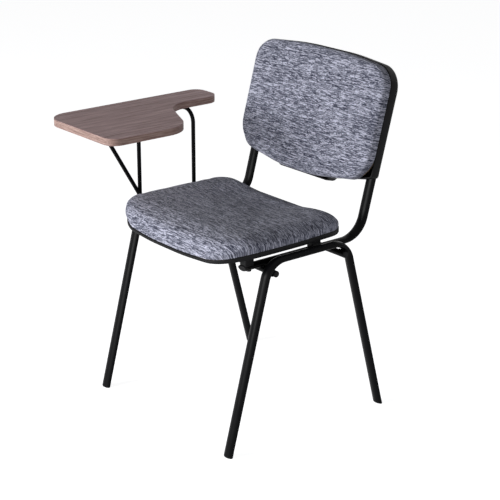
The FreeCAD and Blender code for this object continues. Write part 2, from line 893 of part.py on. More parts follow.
plate_underside = loop_height + tube_depth / 2 + weld_gap
plate_top = plate_underside + plate_thickness
plate_outer = loop_offset + tube_width / 2 + plate_thickness
post_offset = plate_outer + rod_diameter / 2
rod_run_height = tablet_underside - rod_diameter / 2
arch_run_offset = post_offset + arch_reach
post_foot = plate_underside - post_tail
brace_foot_height = plate_top + brace_foot_rise
brace_tilt = math.radians(brace_lean)


def arm_arch_rod():
    corners = [
        Vector(-post_offset, arch_rear, post_foot),
        Vector(-post_offset, arch_rear, rod_run_height),
        Vector(-arch_run_offset, arch_rear, rod_run_height),
        Vector(-arch_run_offset, -arch_front, rod_run_height),
        Vector(-post_offset, -arch_front, rod_run_height),
        Vector(-post_offset, -arch_front, post_foot),
    ]
    radii = [arch_post_radius, arch_plan_radius, arch_plan_radius, arch_post_radius]
    return bent_solid(corners, radii, rod_disc, rod_bend_facet_count)


# Point of the brace's centre line at a height
def brace_point(height):
    forward = (height - brace_foot_height) * math.tan(brace_tilt)
    return Vector(-post_offset, -arch_front - forward, height)


lug_underside = tablet_underside - lug_thickness


# Brace coped round the front post and cut level under its lug
def arm_brace_rod():
    rod = pin(brace_point(brace_foot_height), brace_point(tablet_top), rod_diameter)
    rod = rod.common(between_heights(0, lug_underside))
    foot = Vector(-post_offset, -arch_front, post_foot)
    return rod.cut(pin(foot, foot + up * (tablet_underside - post_foot), rod_diameter + 2 * weld_gap))


# Places of the lugs, and of the screws through them, as (x, y)
arch_middle = (arch_rear - arch_front) / 2
arch_lug_offset = arch_run_offset + rod_diameter / 2 + lug_width / 2 + weld_gap
arch_lug_places = [(-arch_lug_offset, arch_middle + shift * lug_spacing / 2) for shift in (-1, 1)]
brace_lug_place = (-post_offset, brace_point(lug_underside).y)
wood_screw_places = arch_lug_places + [
    (-post_offset, brace_lug_place[1] + shift * brace_lug_screw_spacing / 2) for shift in (-1, 1)
]


def tablet_lugs():
    lugs = []
    for x, y in arch_lug_places:
        lugs.append(prism(rounded_rectangle(x, y, lug_width, lug_length, lug_round), lug_underside,
                          tablet_underside))
    x, y = brace_lug_place
    lugs.append(prism(rounded_rectangle(x, y, lug_width, brace_lug_length, lug_round), lug_underside,
                      tablet_underside))
    drilled = []
    for lug in lugs:
        for x, y in wood_screw_places:
            low = Vector(x, y, lug_underside - overrun)
            lug = lug.cut(small_pin(low, low + up * 2 * overrun, wood_screw_diameter + hole_clearance))
        drilled.append(lug)
    return Part.makeCompound(drilled)


def tablet_screws():
    screws = []
    for x, y in wood_screw_places:
        seat = Vector(x, y, lug_underside)
        tip = Vector(x, y, tablet_underside + wood_screw_depth - padding_gap)
        screws.append(headed_screw(seat, tip, wood_screw_diameter, wood_screw_head, wood_screw_head_height))
    return Part.makeCompound(screws)


# Plate between the posts and the leg loop

arm_bolt_places = [(-loop_offset, shift * arm_bolt_spacing / 2) for shift in (-1, 1)]


# Flat plate on the loop, notched half round where the posts are welded to its edge
def arm_plate():
    inner = loop_offset - tube_width / 2 + plate_inner_margin
    outer = post_offset
    centre_x = -(inner + outer) / 2
    centre_y = (plate_rear - plate_front) / 2
    outline = rounded_rectangle(centre_x, centre_y, outer - inner, plate_rear + plate_front, plate_round)
    plate = prism(outline, plate_underside, plate_top)
    for y in (-arch_front, arch_rear):
        foot = Vector(-post_offset, y, post_foot)
        plate = plate.cut(pin(foot, foot + up * 2 * overrun, rod_diameter + 2 * weld_gap))
    for x, y in arm_bolt_places:
        low = Vector(x, y, plate_underside - overrun)
        plate = plate.cut(small_pin(low, low + up * 2 * overrun, arm_bolt_diameter + 2 * hole_clearance))
    return plate


def right_leg_loop():
    loop = leg_loop(-1)
    for x, y in arm_bolt_places:
        low = Vector(x, y, loop_height - overrun)
        loop = loop.cut(small_pin(low, low + up * 2 * overrun, arm_bolt_diameter + 2 * hole_clearance))
    return loop


arm_washer_top = loop_height - tube_depth / 2 - weld_gap
arm_nut_top = arm_washer_top - washer_thickness


def arm_bolts():
    bolts = []
    for x, y in arm_bolt_places:
        seat = Vector(x, y, plate_top)
        tip = Vector(x, y, arm_nut_top - arm_nut_height - arm_bolt_spare)
        bolts.append(headed_screw(seat, tip, arm_bolt_diameter, arm_bolt_head, arm_bolt_head_height))
    return Part.makeCompound(bolts)


def arm_nuts():
    nuts = []
    corner_radius = arm_nut_width / 2 / math.cos(math.pi / 6)
    for x, y in arm_bolt_places:
        corners = [Vector(x + corner_radius * math.cos(turn * math.pi / 3),
                          y + corner_radius * math.sin(turn * math.pi / 3), 0) for turn in range(7)]
        nut = prism(Part.makePolygon(corners), arm_nut_top - arm_nut_height, arm_nut_top)
        low = Vector(x, y, arm_nut_top - overrun)
        nuts.append(nut.cut(small_pin(low, low + up * 2 * overrun, arm_bolt_diameter + weld_gap)))
    return Part.makeCompound(nuts)


def arm_washers():
    washers = []
    for x, y in arm_bolt_places:
        washer = small_pin(Vector(x, y, arm_nut_top), Vector(x, y, arm_washer_top), washer_diameter)
        low = Vector(x, y, arm_nut_top - overrun)
        washers.append(washer.cut(small_pin(low, low + up * 2 * overrun, arm_bolt_diameter + hole_clearance)))
    return Part.makeCompound(washers)


# All the pieces by name
pieces = {
    "left_leg_loop": leg_loop(1),
    "right_leg_loop": right_leg_loop(),
    "foot_glides": foot_glides(),
    "left_back_rail": back_rail(1),
    "right_back_rail": back_rail(-1),
    "rail_front_caps": rail_front_caps(),
    "front_crossbar": crossbar(crossbar_front),
    "rear_crossbar": crossbar(crossbar_rear),
    "crossbar_caps": crossbar_caps(),
    "seat_shell": seat_shell(),
    "seat_board": seat_board(),
    "seat_cushion": seat_cushion(),
    "seat_screws": seat_screws(),
    "back_shell": back_shell(),
    "back_board": back_board(),
    "back_cushion": back_cushion(),
    "back_screws": back_screws(),
    "tablet_board": tablet_board(),
    "tablet_edge_band": tablet_edge_band(),
    "tablet_lugs": tablet_lugs(),
    "tablet_screws": tablet_screws(),
    "arm_arch_rod": arm_arch_rod(),
    "arm_brace_rod": arm_brace_rod(),
    "arm_plate": arm_plate(),
    "arm_bolts": arm_bolts(),
    "arm_washers": arm_washers(),
    "arm_nuts": arm_nuts(),
}

# Move the chair so that the origin is on the floor under the centre of its overall box
whole = Part.makeCompound(list(pieces.values())).optimalBoundingBox(False, False)
to_origin = Vector(-whole.Center.x, -whole.Center.y, 0)
print("moved by", round(to_origin.x, 3), round(to_origin.y, 3))
for name, shape in pieces.items():
    shape.translate(to_origin)
    shape.exportStep("parts/" + name + ".step")
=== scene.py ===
# Conference chair with a writing tablet at the sitter's right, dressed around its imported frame
import bpy
import bmesh
import json
import math
from mathutils import Matrix, Vector


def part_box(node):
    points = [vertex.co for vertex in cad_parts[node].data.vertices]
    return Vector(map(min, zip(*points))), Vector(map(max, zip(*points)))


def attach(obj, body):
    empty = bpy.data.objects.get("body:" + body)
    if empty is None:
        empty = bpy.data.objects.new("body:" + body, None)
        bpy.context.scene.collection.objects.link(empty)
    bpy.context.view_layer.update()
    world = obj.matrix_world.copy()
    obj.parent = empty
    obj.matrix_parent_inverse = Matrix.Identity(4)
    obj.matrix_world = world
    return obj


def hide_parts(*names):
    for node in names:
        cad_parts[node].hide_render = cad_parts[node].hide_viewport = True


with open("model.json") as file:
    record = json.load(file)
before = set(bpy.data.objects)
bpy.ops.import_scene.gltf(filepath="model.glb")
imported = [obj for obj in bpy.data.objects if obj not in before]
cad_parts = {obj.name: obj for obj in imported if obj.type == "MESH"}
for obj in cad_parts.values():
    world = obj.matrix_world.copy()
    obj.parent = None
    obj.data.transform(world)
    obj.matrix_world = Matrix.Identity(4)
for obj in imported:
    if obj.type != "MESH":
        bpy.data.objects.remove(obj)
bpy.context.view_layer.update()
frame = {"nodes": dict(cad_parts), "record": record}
nodes = frame["nodes"]
print("frame loaded:", len(nodes), "nodes")

# The feet stand symmetrically, so the middle of their glides is the middle of the chair.
# Sizes below are millimetres from that point: +X the sitter's left, -Y the front, +Z up.
glideLow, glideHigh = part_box("foot_glides")
feetMiddle = Vector(((glideLow[0] + glideHigh[0]) / 2, (glideLow[1] + glideHigh[1]) / 2, 0))
mm = 0.001


def addNode(tree, kind, inputs=(), **settings):
    node = tree.nodes.new(kind)
    for name, value in settings.items():
        setattr(node, name, value)
    for name, value in dict(inputs).items():
        if isinstance(value, bpy.types.NodeSocket):
            tree.links.new(value, node.inputs[name])
        else:
            node.inputs[name].default_value = value
    return node


def maths(tree, operation, first, second=0.0, third=0.0):
    return addNode(tree, "ShaderNodeMath", {0: first, 1: second, 2: third}, operation=operation).outputs[0]


def multiply(tree, first, second):
    return maths(tree, "MULTIPLY", first, second)


# Adds a share of how far a noise lies from its middle to a level
def swing(tree, noise, share, level):
    return maths(tree, "MULTIPLY_ADD", maths(tree, "SUBTRACT", noise, 0.5), share, level)


def blendColours(tree, factor, first, second, how="MIX"):
    return addNode(tree, "ShaderNodeMix", {0: factor, 6: first, 7: second},
                   data_type="RGBA", blend_type=how, clamp_factor=True).outputs[2]


def remap(tree, value, low, high, newLow=0.0, newHigh=1.0):
    node = addNode(tree, "ShaderNodeMapRange", {"Value": value, "From Min": low, "From Max": high,
                                               "To Min": newLow, "To Max": newHigh})
    return node.outputs["Result"]


def joinVector(tree, x, y, z=0.0):
    return addNode(tree, "ShaderNodeCombineXYZ", {"X": x, "Y": y, "Z": z}).outputs["Vector"]


def stretched(tree, place, scale):
    return addNode(tree, "ShaderNodeMapping", {"Vector": place, "Scale": scale}).outputs["Vector"]


def objectCoordinates(tree, scale=(1, 1, 1)):
    return stretched(tree, addNode(tree, "ShaderNodeTexCoord").outputs["Object"], scale)


def surfaceCoordinates(tree, attribute):
    return addNode(tree, "ShaderNodeAttribute", attribute_name=attribute).outputs["Vector"]


def noiseOf(tree, vector, scale, detail=2.0, roughness=0.5):
    return addNode(tree, "ShaderNodeTexNoise", {"Vector": vector, "Scale": scale, "Detail": detail,
                                               "Roughness": roughness}).outputs["Fac"]


def colourSteps(tree, value, steps):
    ramp = addNode(tree, "ShaderNodeValToRGB", {"Fac": value})
    stops = ramp.color_ramp.elements
    stops[0].position, stops[0].color = steps[0]
    stops[1].position, stops[1].color = steps[-1]
    for position, colour in steps[1:-1]:
        stops.new(position).color = colour
    return ramp.outputs["Color"]


def startMaterial(name, roughness, metallic=0.0, specular=0.5):
    material = bpy.data.materials.new(name)
    material.use_nodes = True
    tree = material.node_tree
    shader = next(node for node in tree.nodes if node.type == "BSDF_PRINCIPLED")
    shader.inputs["Roughness"].default_value = roughness
    shader.inputs["Metallic"].default_value = metallic
    shader.inputs["Specular IOR Level"].default_value = specular
    return material, tree, shader


def addBump(tree, shader, height, strength, distance):
    bump = addNode(tree, "ShaderNodeBump", {"Height": height, "Strength": strength, "Distance": distance})
    tree.links.new(bump.outputs["Normal"], shader.inputs["Normal"])


noiseRange = (0.3, 0.7)     # where most of a noise lies


# Satin black powder coat with a fine orange peel, and black plastic moulded with a spark-eroded grain
powderCoat = {
    "name": "powderCoatBlack", "colour": (0.0022, 0.0022, 0.0028, 1), "worn": (0.0040, 0.0040, 0.0046, 1),
    "roughness": 0.33, "smoothest": 0.28, "roughest": 0.41, "specular": 0.045,
    "patches": (14, 3, 0.6), "wearFrom": 0.35, "wearTo": 0.7,
    "grainScale": 900, "grainStrength": 0.5, "grainDepth": 0.00005,
}
mouldedPlastic = {
    "name": "mouldedPlasticBlack", "colour": (0.0045, 0.0045, 0.0052, 1), "worn": (0.0085, 0.0085, 0.0095, 1),
    "roughness": 0.5, "smoothest": 0.44, "roughest": 0.6, "specular": 0.1,
    "patches": (40, 4, 0.65), "wearFrom": 0.4, "wearTo": 0.75,
    "grainScale": 1500, "grainStrength": 0.6, "grainDepth": 0.0001,
}


def orangePeel(tree, place, scale):
    return noiseOf(tree, place, scale, 1.5)


def sparkGrain(tree, place, scale):
    return addNode(tree, "ShaderNodeTexVoronoi", {"Vector": place, "Scale": scale},
                   feature="SMOOTH_F1").outputs["Distance"]


def makeBlack(finish, grain):
    material, tree, shader = startMaterial(finish["name"], finish["roughness"], 0.0, finish["specular"])
    place = objectCoordinates(tree)
    patches = noiseOf(tree, place, *finish["patches"])
    wear = remap(tree, patches, finish["wearFrom"], finish["wearTo"])
    sheen = remap(tree, patches, *noiseRange, finish["smoothest"], finish["roughest"])
    tree.links.new(blendColours(tree, wear, finish["colour"], finish["worn"]), shader.inputs["Base Color"])
    tree.links.new(sheen, shader.inputs["Roughness"])
    addBump(tree, shader, grain(tree, place, finish["grainScale"]), finish["grainStrength"], finish["grainDepth"])
    return material


# Heathered upholstery: weft yarns run across the chair, and each changes colour along its length
heather = {
    "steps": ((0.20, (0.036, 0.039, 0.066, 1)), (0.37, (0.125, 0.132, 0.180, 1)),
              (0.54, (0.27, 0.28, 0.350, 1)), (0.77, (0.60, 0.61, 0.74, 1))),
    "yarn": 0.0017,         # pitch of the weft, metres
    "fleck": 0.0084,        # length of one fleck along a yarn
    "streak": 0.019,        # length of the longer changes of tone
    "startTone": 0.08, "fleckShare": 0.44, "streakShare": 0.34, "cloudShare": 0.06, "fibreShare": 0.75,
    "wanderScale": 22, "wander": 0.35, "cloudScale": 55, "fibreScale": 620, "fibreStretch": 0.3,
    # the gap tone and share set the painted shade along the edges of each yarn row
    "gapShadeTone": 0.62, "gapShadeShare": 0.55, "roughness": 0.95, "specular": 0.12, "sheen": 0.12, "sheenRoughness": 0.6,
    "reliefStrength": 0.4, "reliefDepth": 0.0005,
}
yarnSalt = {"fleck": 0.0, "streak": 31.0, "shift": 7.0, "warpRate": 2.1, "warp": 0.3}


# One random level for each stretch of each yarn, and the place along that stretch
def yarnLevels(tree, across, row, kind):
    saltedRow = maths(tree, "ADD", row, yarnSalt[kind])
    shift = addNode(tree, "ShaderNodeTexWhiteNoise", {"W": saltedRow}, noise_dimensions="1D").outputs["Value"]
    lengths = maths(tree, "DIVIDE", across, heather[kind])
    along = maths(tree, "ADD", lengths, multiply(tree, shift, yarnSalt["shift"]))
    wave = maths(tree, "SINE", multiply(tree, along, yarnSalt["warpRate"]))
    warped = maths(tree, "ADD", along, multiply(tree, wave, yarnSalt["warp"]))
    cell = joinVector(tree, maths(tree, "FLOOR", warped), saltedRow)
    level = addNode(tree, "ShaderNodeTexWhiteNoise", {"Vector": cell}, noise_dimensions="2D").outputs["Value"]
    return level, warped


def makeHeather():
    h = heather
    material, tree, shader = startMaterial("heatherFabric", h["roughness"], 0.0, h["specular"])
    cover = surfaceCoordinates(tree, "cover")
    parts = addNode(tree, "ShaderNodeSeparateXYZ", {"Vector": cover}).outputs
    # the yarns wander a little, so that no row is quite straight
    strayed = swing(tree, noiseOf(tree, cover, h["wanderScale"], 1), h["yarn"] * h["wander"], parts["Y"])
    rows = maths(tree, "DIVIDE", strayed, h["yarn"])
    row = maths(tree, "FLOOR", rows)
    inRow = maths(tree, "SINE", multiply(tree, maths(tree, "FRACT", rows), math.pi))
    fleck, fleckPlace = yarnLevels(tree, parts["X"], row, "fleck")
    streak = yarnLevels(tree, parts["X"], row, "streak")[0]
    clouds = noiseOf(tree, cover, h["cloudScale"], 2, 0.6)
    along = joinVector(tree, multiply(tree, parts["X"], h["fibreStretch"]), parts["Y"])
    fibres = noiseOf(tree, along, h["fibreScale"], 2, 0.7)
    tone = maths(tree, "MULTIPLY_ADD", streak, h["streakShare"], h["startTone"])
    tone = maths(tree, "MULTIPLY_ADD", fleck, h["fleckShare"], tone)
    tone = swing(tree, clouds, h["cloudShare"], tone)
    tone = swing(tree, fibres, h["fibreShare"], tone)
    # painted shade: each weft yarn is darkened towards its edges and in the gaps between rows, where the round
    # yarns shade one another, and this is multiplied into the colour
    paintedGapShade = remap(tree, inRow, 0.0, h["gapShadeShare"], h["gapShadeTone"], 1.0)
    shade = joinVector(tree, paintedGapShade, paintedGapShade, paintedGapShade)
    colour = blendColours(tree, 1.0, colourSteps(tree, tone, h["steps"]), shade, "MULTIPLY")
    tree.links.new(colour, shader.inputs["Base Color"])
    shader.inputs["Sheen Weight"].default_value = h["sheen"]
    shader.inputs["Sheen Roughness"].default_value = h["sheenRoughness"]
    # a light fleck floats over the warp and stands proud, and a dark one dips under it
    beat = maths(tree, "ABSOLUTE", maths(tree, "SINE", multiply(tree, fleckPlace, math.pi)))
    proud = maths(tree, "MULTIPLY_ADD", beat, 0.5, multiply(tree, fleck, 0.5))
    addBump(tree, shader, multiply(tree, inRow, proud), h["reliefStrength"], h["reliefDepth"])
    return material


# Wood: long grain made of stretched noise; one maker serves the laminate, its edge band and the plywood
woods = {
    "beechPly": {
        "dark": (0.36, 0.24, 0.14, 1), "middle": (0.50, 0.36, 0.23, 1), "light": (0.62, 0.47, 0.32, 1),
        "roughness": 0.6, "scale": 160, "stretch": (0.05, 1, 1)},
    "walnutLaminate": {
        "dark": (0.140, 0.069, 0.068, 1), "middle": (0.335, 0.205, 0.206, 1), "light": (0.530, 0.372, 0.372, 1),
        "roughness": 0.5, "scale": 120, "stretch": (1, 0.045, 1)},
    "walnutEdgeBand": {
        "dark": (0.165, 0.094, 0.082, 1), "middle": (0.315, 0.208, 0.180, 1), "light": (0.47, 0.335, 0.295, 1),
        "roughness": 0.5, "scale": 330, "stretch": (0.05, 1, 1), "follows": "edgeFlow"},
}
woodGrain = {
    "specular": 0.22, "bendScale": 0.1, "bend": (0.02, 0.01), "lineScale": 3.7, "lineShare": 0.5,
    "poreScale": 11, "poreShare": 0.22, "steps": (0.28, 0.5, 0.74), "poreStrength": 0.25, "poreDepth": 0.00008,
    "rougher": 0.08, "smoother": 0.05,
}


def makeWood(name):
    wood, g = woods[name], woodGrain
    scale, roughness = wood["scale"], wood["roughness"]
    material, tree, shader = startMaterial(name, roughness, 0.0, g["specular"])
    if "follows" in wood:
        place = stretched(tree, surfaceCoordinates(tree, wood["follows"]), wood["stretch"])
    else:
        place = objectCoordinates(tree, wood["stretch"])
    bend = noiseOf(tree, place, scale * g["bendScale"], 2, 0.5)
    drift = joinVector(tree, *[multiply(tree, bend, reach) for reach in g["bend"]])
    bent = addNode(tree, "ShaderNodeVectorMath", {0: place, 1: drift}, operation="ADD").outputs["Vector"]
    bands = noiseOf(tree, bent, scale, 4, 0.62)
    lines = noiseOf(tree, bent, scale * g["lineScale"], 2, 0.6)
    pores = noiseOf(tree, place, scale * g["poreScale"], 2, 0.7)
    tone = swing(tree, pores, g["poreShare"], swing(tree, lines, g["lineShare"], bands))
    colours = [wood["dark"], wood["middle"], wood["light"]]
    tree.links.new(colourSteps(tree, tone, list(zip(g["steps"], colours))), shader.inputs["Base Color"])
    sheen = remap(tree, pores, *noiseRange, roughness + g["rougher"], roughness - g["smoother"])
    tree.links.new(sheen, shader.inputs["Roughness"])
    addBump(tree, shader, pores, g["poreStrength"], g["poreDepth"])
    return material


zinc = {
    "dull": (0.52, 0.53, 0.53, 1), "bright": (0.72, 0.72, 0.69, 1), "mottleScale": 600,
    "roughness": 0.34, "smoothest": 0.28, "roughest": 0.45,
}


def makeZinc():
    material, tree, shader = startMaterial("zincPlate", zinc["roughness"], 1.0)
    mottled = noiseOf(tree, objectCoordinates(tree), zinc["mottleScale"], 3, 0.6)
    tree.links.new(blendColours(tree, mottled, zinc["dull"], zinc["bright"]), shader.inputs["Base Color"])
    sheen = remap(tree, mottled, *noiseRange, zinc["smoothest"], zinc["roughest"])
    tree.links.new(sheen, shader.inputs["Roughness"])
    return material


finishes = {
    "black_frame": makeBlack(powderCoat, orangePeel),
    "black_plastic": makeBlack(mouldedPlastic, sparkGrain),
    "grey_fabric": makeHeather(),
    "plywood": makeWood("beechPly"),
    "walnut_laminate": makeWood("walnutLaminate"),
    "edge_band": makeWood("walnutEdgeBand"),
    "zinc_steel": makeZinc(),
}
finishes["black_screws"] = finishes["black_frame"]
for part in frame["record"]["subparts"]:
    surface = nodes[part["node"]]
    surface.data.materials.clear()
    surface.data.materials.append(finishes[part["material_slot"]])
print("finishes made")


def addPiece(name, data):
    piece = bpy.data.objects.new(name, data)
    bpy.context.scene.collection.objects.link(piece)
    return piece


# Mesh of a piece with its modifiers applied
def evaluatedMesh(piece):
    return bpy.data.meshes.new_from_object(piece.evaluated_get(bpy.context.evaluated_depsgraph_get()))


# Hands a finished piece over to the frame, in place of the nodes that it stands for
def handOver(piece, slotName, replaced=()):
    piece.data.materials.clear()
    piece.data.materials.append(finishes[slotName])
    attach(piece, "root")
    if replaced:
        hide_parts(*replaced)


# Quads between two loops of the same number of points
def joinLoops(draft, first, second):
    for index in range(len(first)):
        follow = (index + 1) % len(first)
        draft.faces.new([first[index], first[follow], second[follow], second[index]])


# Piece made from a finished draft; smooth, with edges sharp from an angle in degrees
def closeDraft(name, draft, sharpFrom=None):
    bmesh.ops.recalc_face_normals(draft, faces=draft.faces)
    mesh = bpy.data.meshes.new(name)
    draft.to_mesh(mesh)
    draft.free()
    if sharpFrom:
        mesh.shade_smooth()
        mesh.set_sharp_from_angle(angle=math.radians(sharpFrom))
    return addPiece(name, mesh)


def skinLoops(draft, loops):
    for lower, upper in zip(loops, loops[1:]):
        joinLoops(draft, lower, upper)
    draft.faces.new(list(reversed(loops[0])))
    draft.faces.new(loops[-1])


# Closed skins, each through its own rings of points, with flat ends
def skinPiece(name, shells, sharpFrom=30):
    draft = bmesh.new()
    for rings in shells:
        skinLoops(draft, [[draft.verts.new(feetMiddle + point * mm) for point in ring] for ring in rings])
    return closeDraft(name, draft, sharpFrom)


# Points along straight runs joined by round bends, each with its heading
def bentRun(corners, radii, turnStep=math.radians(4)):
    corners = [Vector(corner) for corner in corners]
    stations = [(corners[0], (corners[1] - corners[0]).normalized())]
    for before, corner, after, radius in zip(corners, corners[1:], corners[2:], radii):
        arriving = (corner - before).normalized()
        leaving = (after - corner).normalized()
        turn = arriving.angle(leaving)
        start = corner - arriving * radius * math.tan(turn / 2)
        inward = (leaving - arriving).normalized()
        centre = corner + inward * (radius / math.cos(turn / 2))
        axis = arriving.cross(leaving).normalized()
        steps = max(2, round(turn / turnStep))
        for step in range(steps + 1):
            spin = Matrix.Rotation(turn * step / steps, 3, axis)
            stations.append((centre + spin @ (start - centre), spin @ arriving))
    stations.append((corners[-1], (corners[-1] - corners[-2]).normalized()))
    return stations


# Section carried along a run without twisting; sideways is the section's first axis where the run starts
def sweepRings(stations, outline, sideways):
    rings = []
    across = Vector(sideways)
    heading = stations[0][1]
    for place, direction in stations:
        across = heading.rotation_difference(direction) @ across
        heading = direction
        over = heading.cross(across)
        rings.append([place + across * u + over * v for u, v in outline])
    return rings


# Ring slid along the run until it lies level at a height
def levelRing(ring, heading, height):
    return [point + heading * ((height - point.z) / heading.z) for point in ring]


def roundSection(diameter, count=32):
    angles = [2 * math.pi * step / count for step in range(count)]
    return [(diameter / 2 * math.cos(angle), diameter / 2 * math.sin(angle)) for angle in angles]


# Oval tube of four arcs, wide way across the chair
ovalTube = {"width": 28.0, "depth": 14.0, "endRadius": 4.2, "arcSteps": 11}


def ovalSection(inset=0.0):
    halfWidth, halfDepth, endRadius = ovalTube["width"] / 2, ovalTube["depth"] / 2, ovalTube["endRadius"]
    reach = halfWidth - endRadius
    sideRadius = (reach ** 2 + halfDepth ** 2 - endRadius ** 2) / (2 * (halfDepth - endRadius))
    sideCentre = sideRadius - halfDepth
    spread = math.atan2(sideCentre, reach)
    narrow, wide = 2 * spread, math.pi - 2 * spread
    arcs = ((reach, 0, endRadius, -spread, narrow), (0, -sideCentre, sideRadius, spread, wide),
            (-reach, 0, endRadius, math.pi - spread, narrow), (0, sideCentre, sideRadius, math.pi + spread, wide))
    points = []
    for x, y, radius, start, sweep in arcs:
        for step in range(ovalTube["arcSteps"]):
            angle = start + sweep * step / ovalTube["arcSteps"]
            points.append((x + (radius - inset) * math.cos(angle), y + (radius - inset) * math.sin(angle)))
    return points


# Leg loops: two leaning legs joined by a level run, on a plastic glide under each leg
legLoop = {
    "x": 244.1, "height": 436.5, "footY": 229.8, "frontLean": 14.83, "rearLean": 14.95, "bendRadius": 50.5,
    "tubeFoot": 4.0,
    # height and inset
    "glideRings": ((0.0, 0.9), (0.25, 0.35), (0.8, 0.0), (3.3, 0.0), (3.5, 0.5), (4.0, 0.5)),
}


def makeLegLoop(side, name, node):
    x, footY, height = side * legLoop["x"], legLoop["footY"], legLoop["height"]
    frontTop = -footY + height * math.tan(math.radians(legLoop["frontLean"]))
    rearTop = footY - height * math.tan(math.radians(legLoop["rearLean"]))
    stations = bentRun([(x, -footY, 0), (x, frontTop, height), (x, rearTop, height), (x, footY, 0)],
                       [legLoop["bendRadius"]] * 2)
    rings = sweepRings(stations, ovalSection(), (1, 0, 0))
    for end in (0, -1):
        rings[end] = levelRing(rings[end], stations[end][1], legLoop["tubeFoot"])
    handOver(skinPiece(name, [rings]), "black_frame", [node])
    # the glide follows the leg's own slope: a small bevel below, and a fine groove where the tube starts
    glides = []
    for end in (0, -1):
        layers = []
        for height, inset in legLoop["glideRings"]:
            full = levelRing(rings[end], stations[end][1], height)
            middle = sum(full, Vector()) / len(full)
            layers.append([point + (middle - point).normalized() * inset for point in full])
        glides.append(layers)
    return glides


glideShells = makeLegLoop(1, "leftLegLoop", "left_leg_loop") + makeLegLoop(-1, "rightLegLoop", "right_leg_loop")
handOver(skinPiece("footGlides", glideShells, sharpFrom=40), "black_plastic", ["foot_glides"])
print("leg loops done")


# Back rails: level under the seat, then up inside the back, closed in front by rounded plastic ends
backRail = {
    "x": 209.7, "height": 424.3, "front": -155.0, "rear": 184.8, "lean": 15.25,
    "bendRadius": 62.0, "upright": 350.0,
    # depth and inset
    "capRings": ((0.0, 0.0), (0.35, 0.3), (0.6, 0.0), (4.8, 0.0), (6.2, 0.35), (7.2, 1.1), (7.8, 2.1), (8.0, 3.2)),
}


# A spot on the slope of the back: up along it from the rails' bend, and out of it towards the front
def backSpot(x, slope, out):
    lean = math.radians(backRail["lean"])
    return Vector((x, backRail["rear"] + slope * math.sin(lean) - out * math.cos(lean),
                   backRail["height"] + slope * math.cos(lean) + out * math.sin(lean)))


def makeBackRail(side, name, node):
    x, front, height = side * backRail["x"], backRail["front"], backRail["height"]
    corners = [(x, front, height), (x, backRail["rear"], height), backSpot(x, backRail["upright"], 0)]
    rings = sweepRings(bentRun(corners, [backRail["bendRadius"]]), ovalSection(), (1, 0, 0))
    handOver(skinPiece(name, [rings]), "black_frame", [node])
    return [[Vector((x + u, front - depth, height + v)) for u, v in ovalSection(inset)]
            for depth, inset in backRail["capRings"]]


railCaps = [makeBackRail(1, "leftBackRail", "left_back_rail"), makeBackRail(-1, "rightBackRail", "right_back_rail")]
handOver(skinPiece("railFrontCaps", railCaps), "black_plastic", ["rail_front_caps"])
print("back rails done")


# Round crossbars under the rails, with domed plastic ends
crossbar = {
    "diameter": 15.0, "halfLength": 254.1, "height": 409.7, "sides": 40,
    "capRings": ((0.0, 0.0), (0.3, 0.35), (0.55, 0.0), (2.0, 0.0), (3.0, 0.5), (3.6, 1.4), (3.95, 2.8), (4.0, 4.2)),
}


def makeCrossbar(name, node):
    low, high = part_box(node)
    y = (low[1] + high[1]) / 2 / mm - feetMiddle.y / mm
    reach, height = crossbar["halfLength"], crossbar["height"]

    def section(inset=0.0):
        return roundSection(crossbar["diameter"] - 2 * inset, crossbar["sides"])

    rings = sweepRings(bentRun([(-reach, y, height), (reach, y, height)], []), section(), (0, 1, 0))
    handOver(skinPiece(name, [rings]), "black_frame", [node])
    caps = [[[Vector((side * (reach + depth), y + u, height + v)) for u, v in section(inset)]
             for depth, inset in crossbar["capRings"]] for side in (-1, 1)]
    return y, caps


frontBarY, frontBarCaps = makeCrossbar("frontCrossbar", "front_crossbar")
rearBarY, rearBarCaps = makeCrossbar("rearCrossbar", "rear_crossbar")
handOver(skinPiece("crossbarCaps", frontBarCaps + rearBarCaps), "black_plastic", ["crossbar_caps"])
print("crossbars done")


# Bent rods that carry the tablet
tabletRods = {
    "diameter": 10.0, "postX": -267.1, "runX": -330.1, "rearY": 66.0, "frontY": -98.0,
    "foot": 437.6, "runHeight": 650.0, "postRadius": 32.0, "planRadius": 30.0,
    "braceFoot": 463.4, "braceLean": 30.15, "braceTop": 652.0,
    "burrShare": 0.86, "burrHeight": 0.7, "overrun": 20,
}


def makeTabletRods():
    r = tabletRods
    post, run, rear, front = r["postX"], r["runX"], r["rearY"], r["frontY"]
    foot, height = r["foot"], r["runHeight"]
    corners = [(post, rear, foot), (post, rear, height), (run, rear, height),
               (run, front, height), (post, front, height), (post, front, foot)]
    stations = bentRun(corners, [r["postRadius"], r["planRadius"], r["planRadius"], r["postRadius"]])
    section = roundSection(r["diameter"])
    rings = sweepRings(stations, section, (1, 0, 0))
    # the sawn feet have their burr taken off
    tips = []
    for end in (0, -1):
        place = stations[end][0]
        tips.append([place + (point - place) * r["burrShare"] for point in rings[end]])
        rings[end] = [point + Vector((0, 0, r["burrHeight"])) for point in rings[end]]
    handOver(skinPiece("armArchRod", [tips[:1] + rings + tips[1:]]), "black_frame", ["arm_arch_rod"])
    slope = math.tan(math.radians(r["braceLean"]))
    rise = r["braceTop"] + r["overrun"] - r["braceFoot"]
    ends = [(post, front, r["braceFoot"]), (post, front - rise * slope, r["braceTop"] + r["overrun"])]
    stations = bentRun(ends, [])
    rings = sweepRings(stations, section, (1, 0, 0))
    rings[-1] = levelRing(rings[-1], stations[-1][1], r["braceTop"])
    handOver(skinPiece("armBraceRod", [rings]), "black_frame", ["arm_brace_rod"])
    return front - (r["braceTop"] - r["braceFoot"]) * slope


braceTopY = makeTabletRods()
print("tablet rods done")


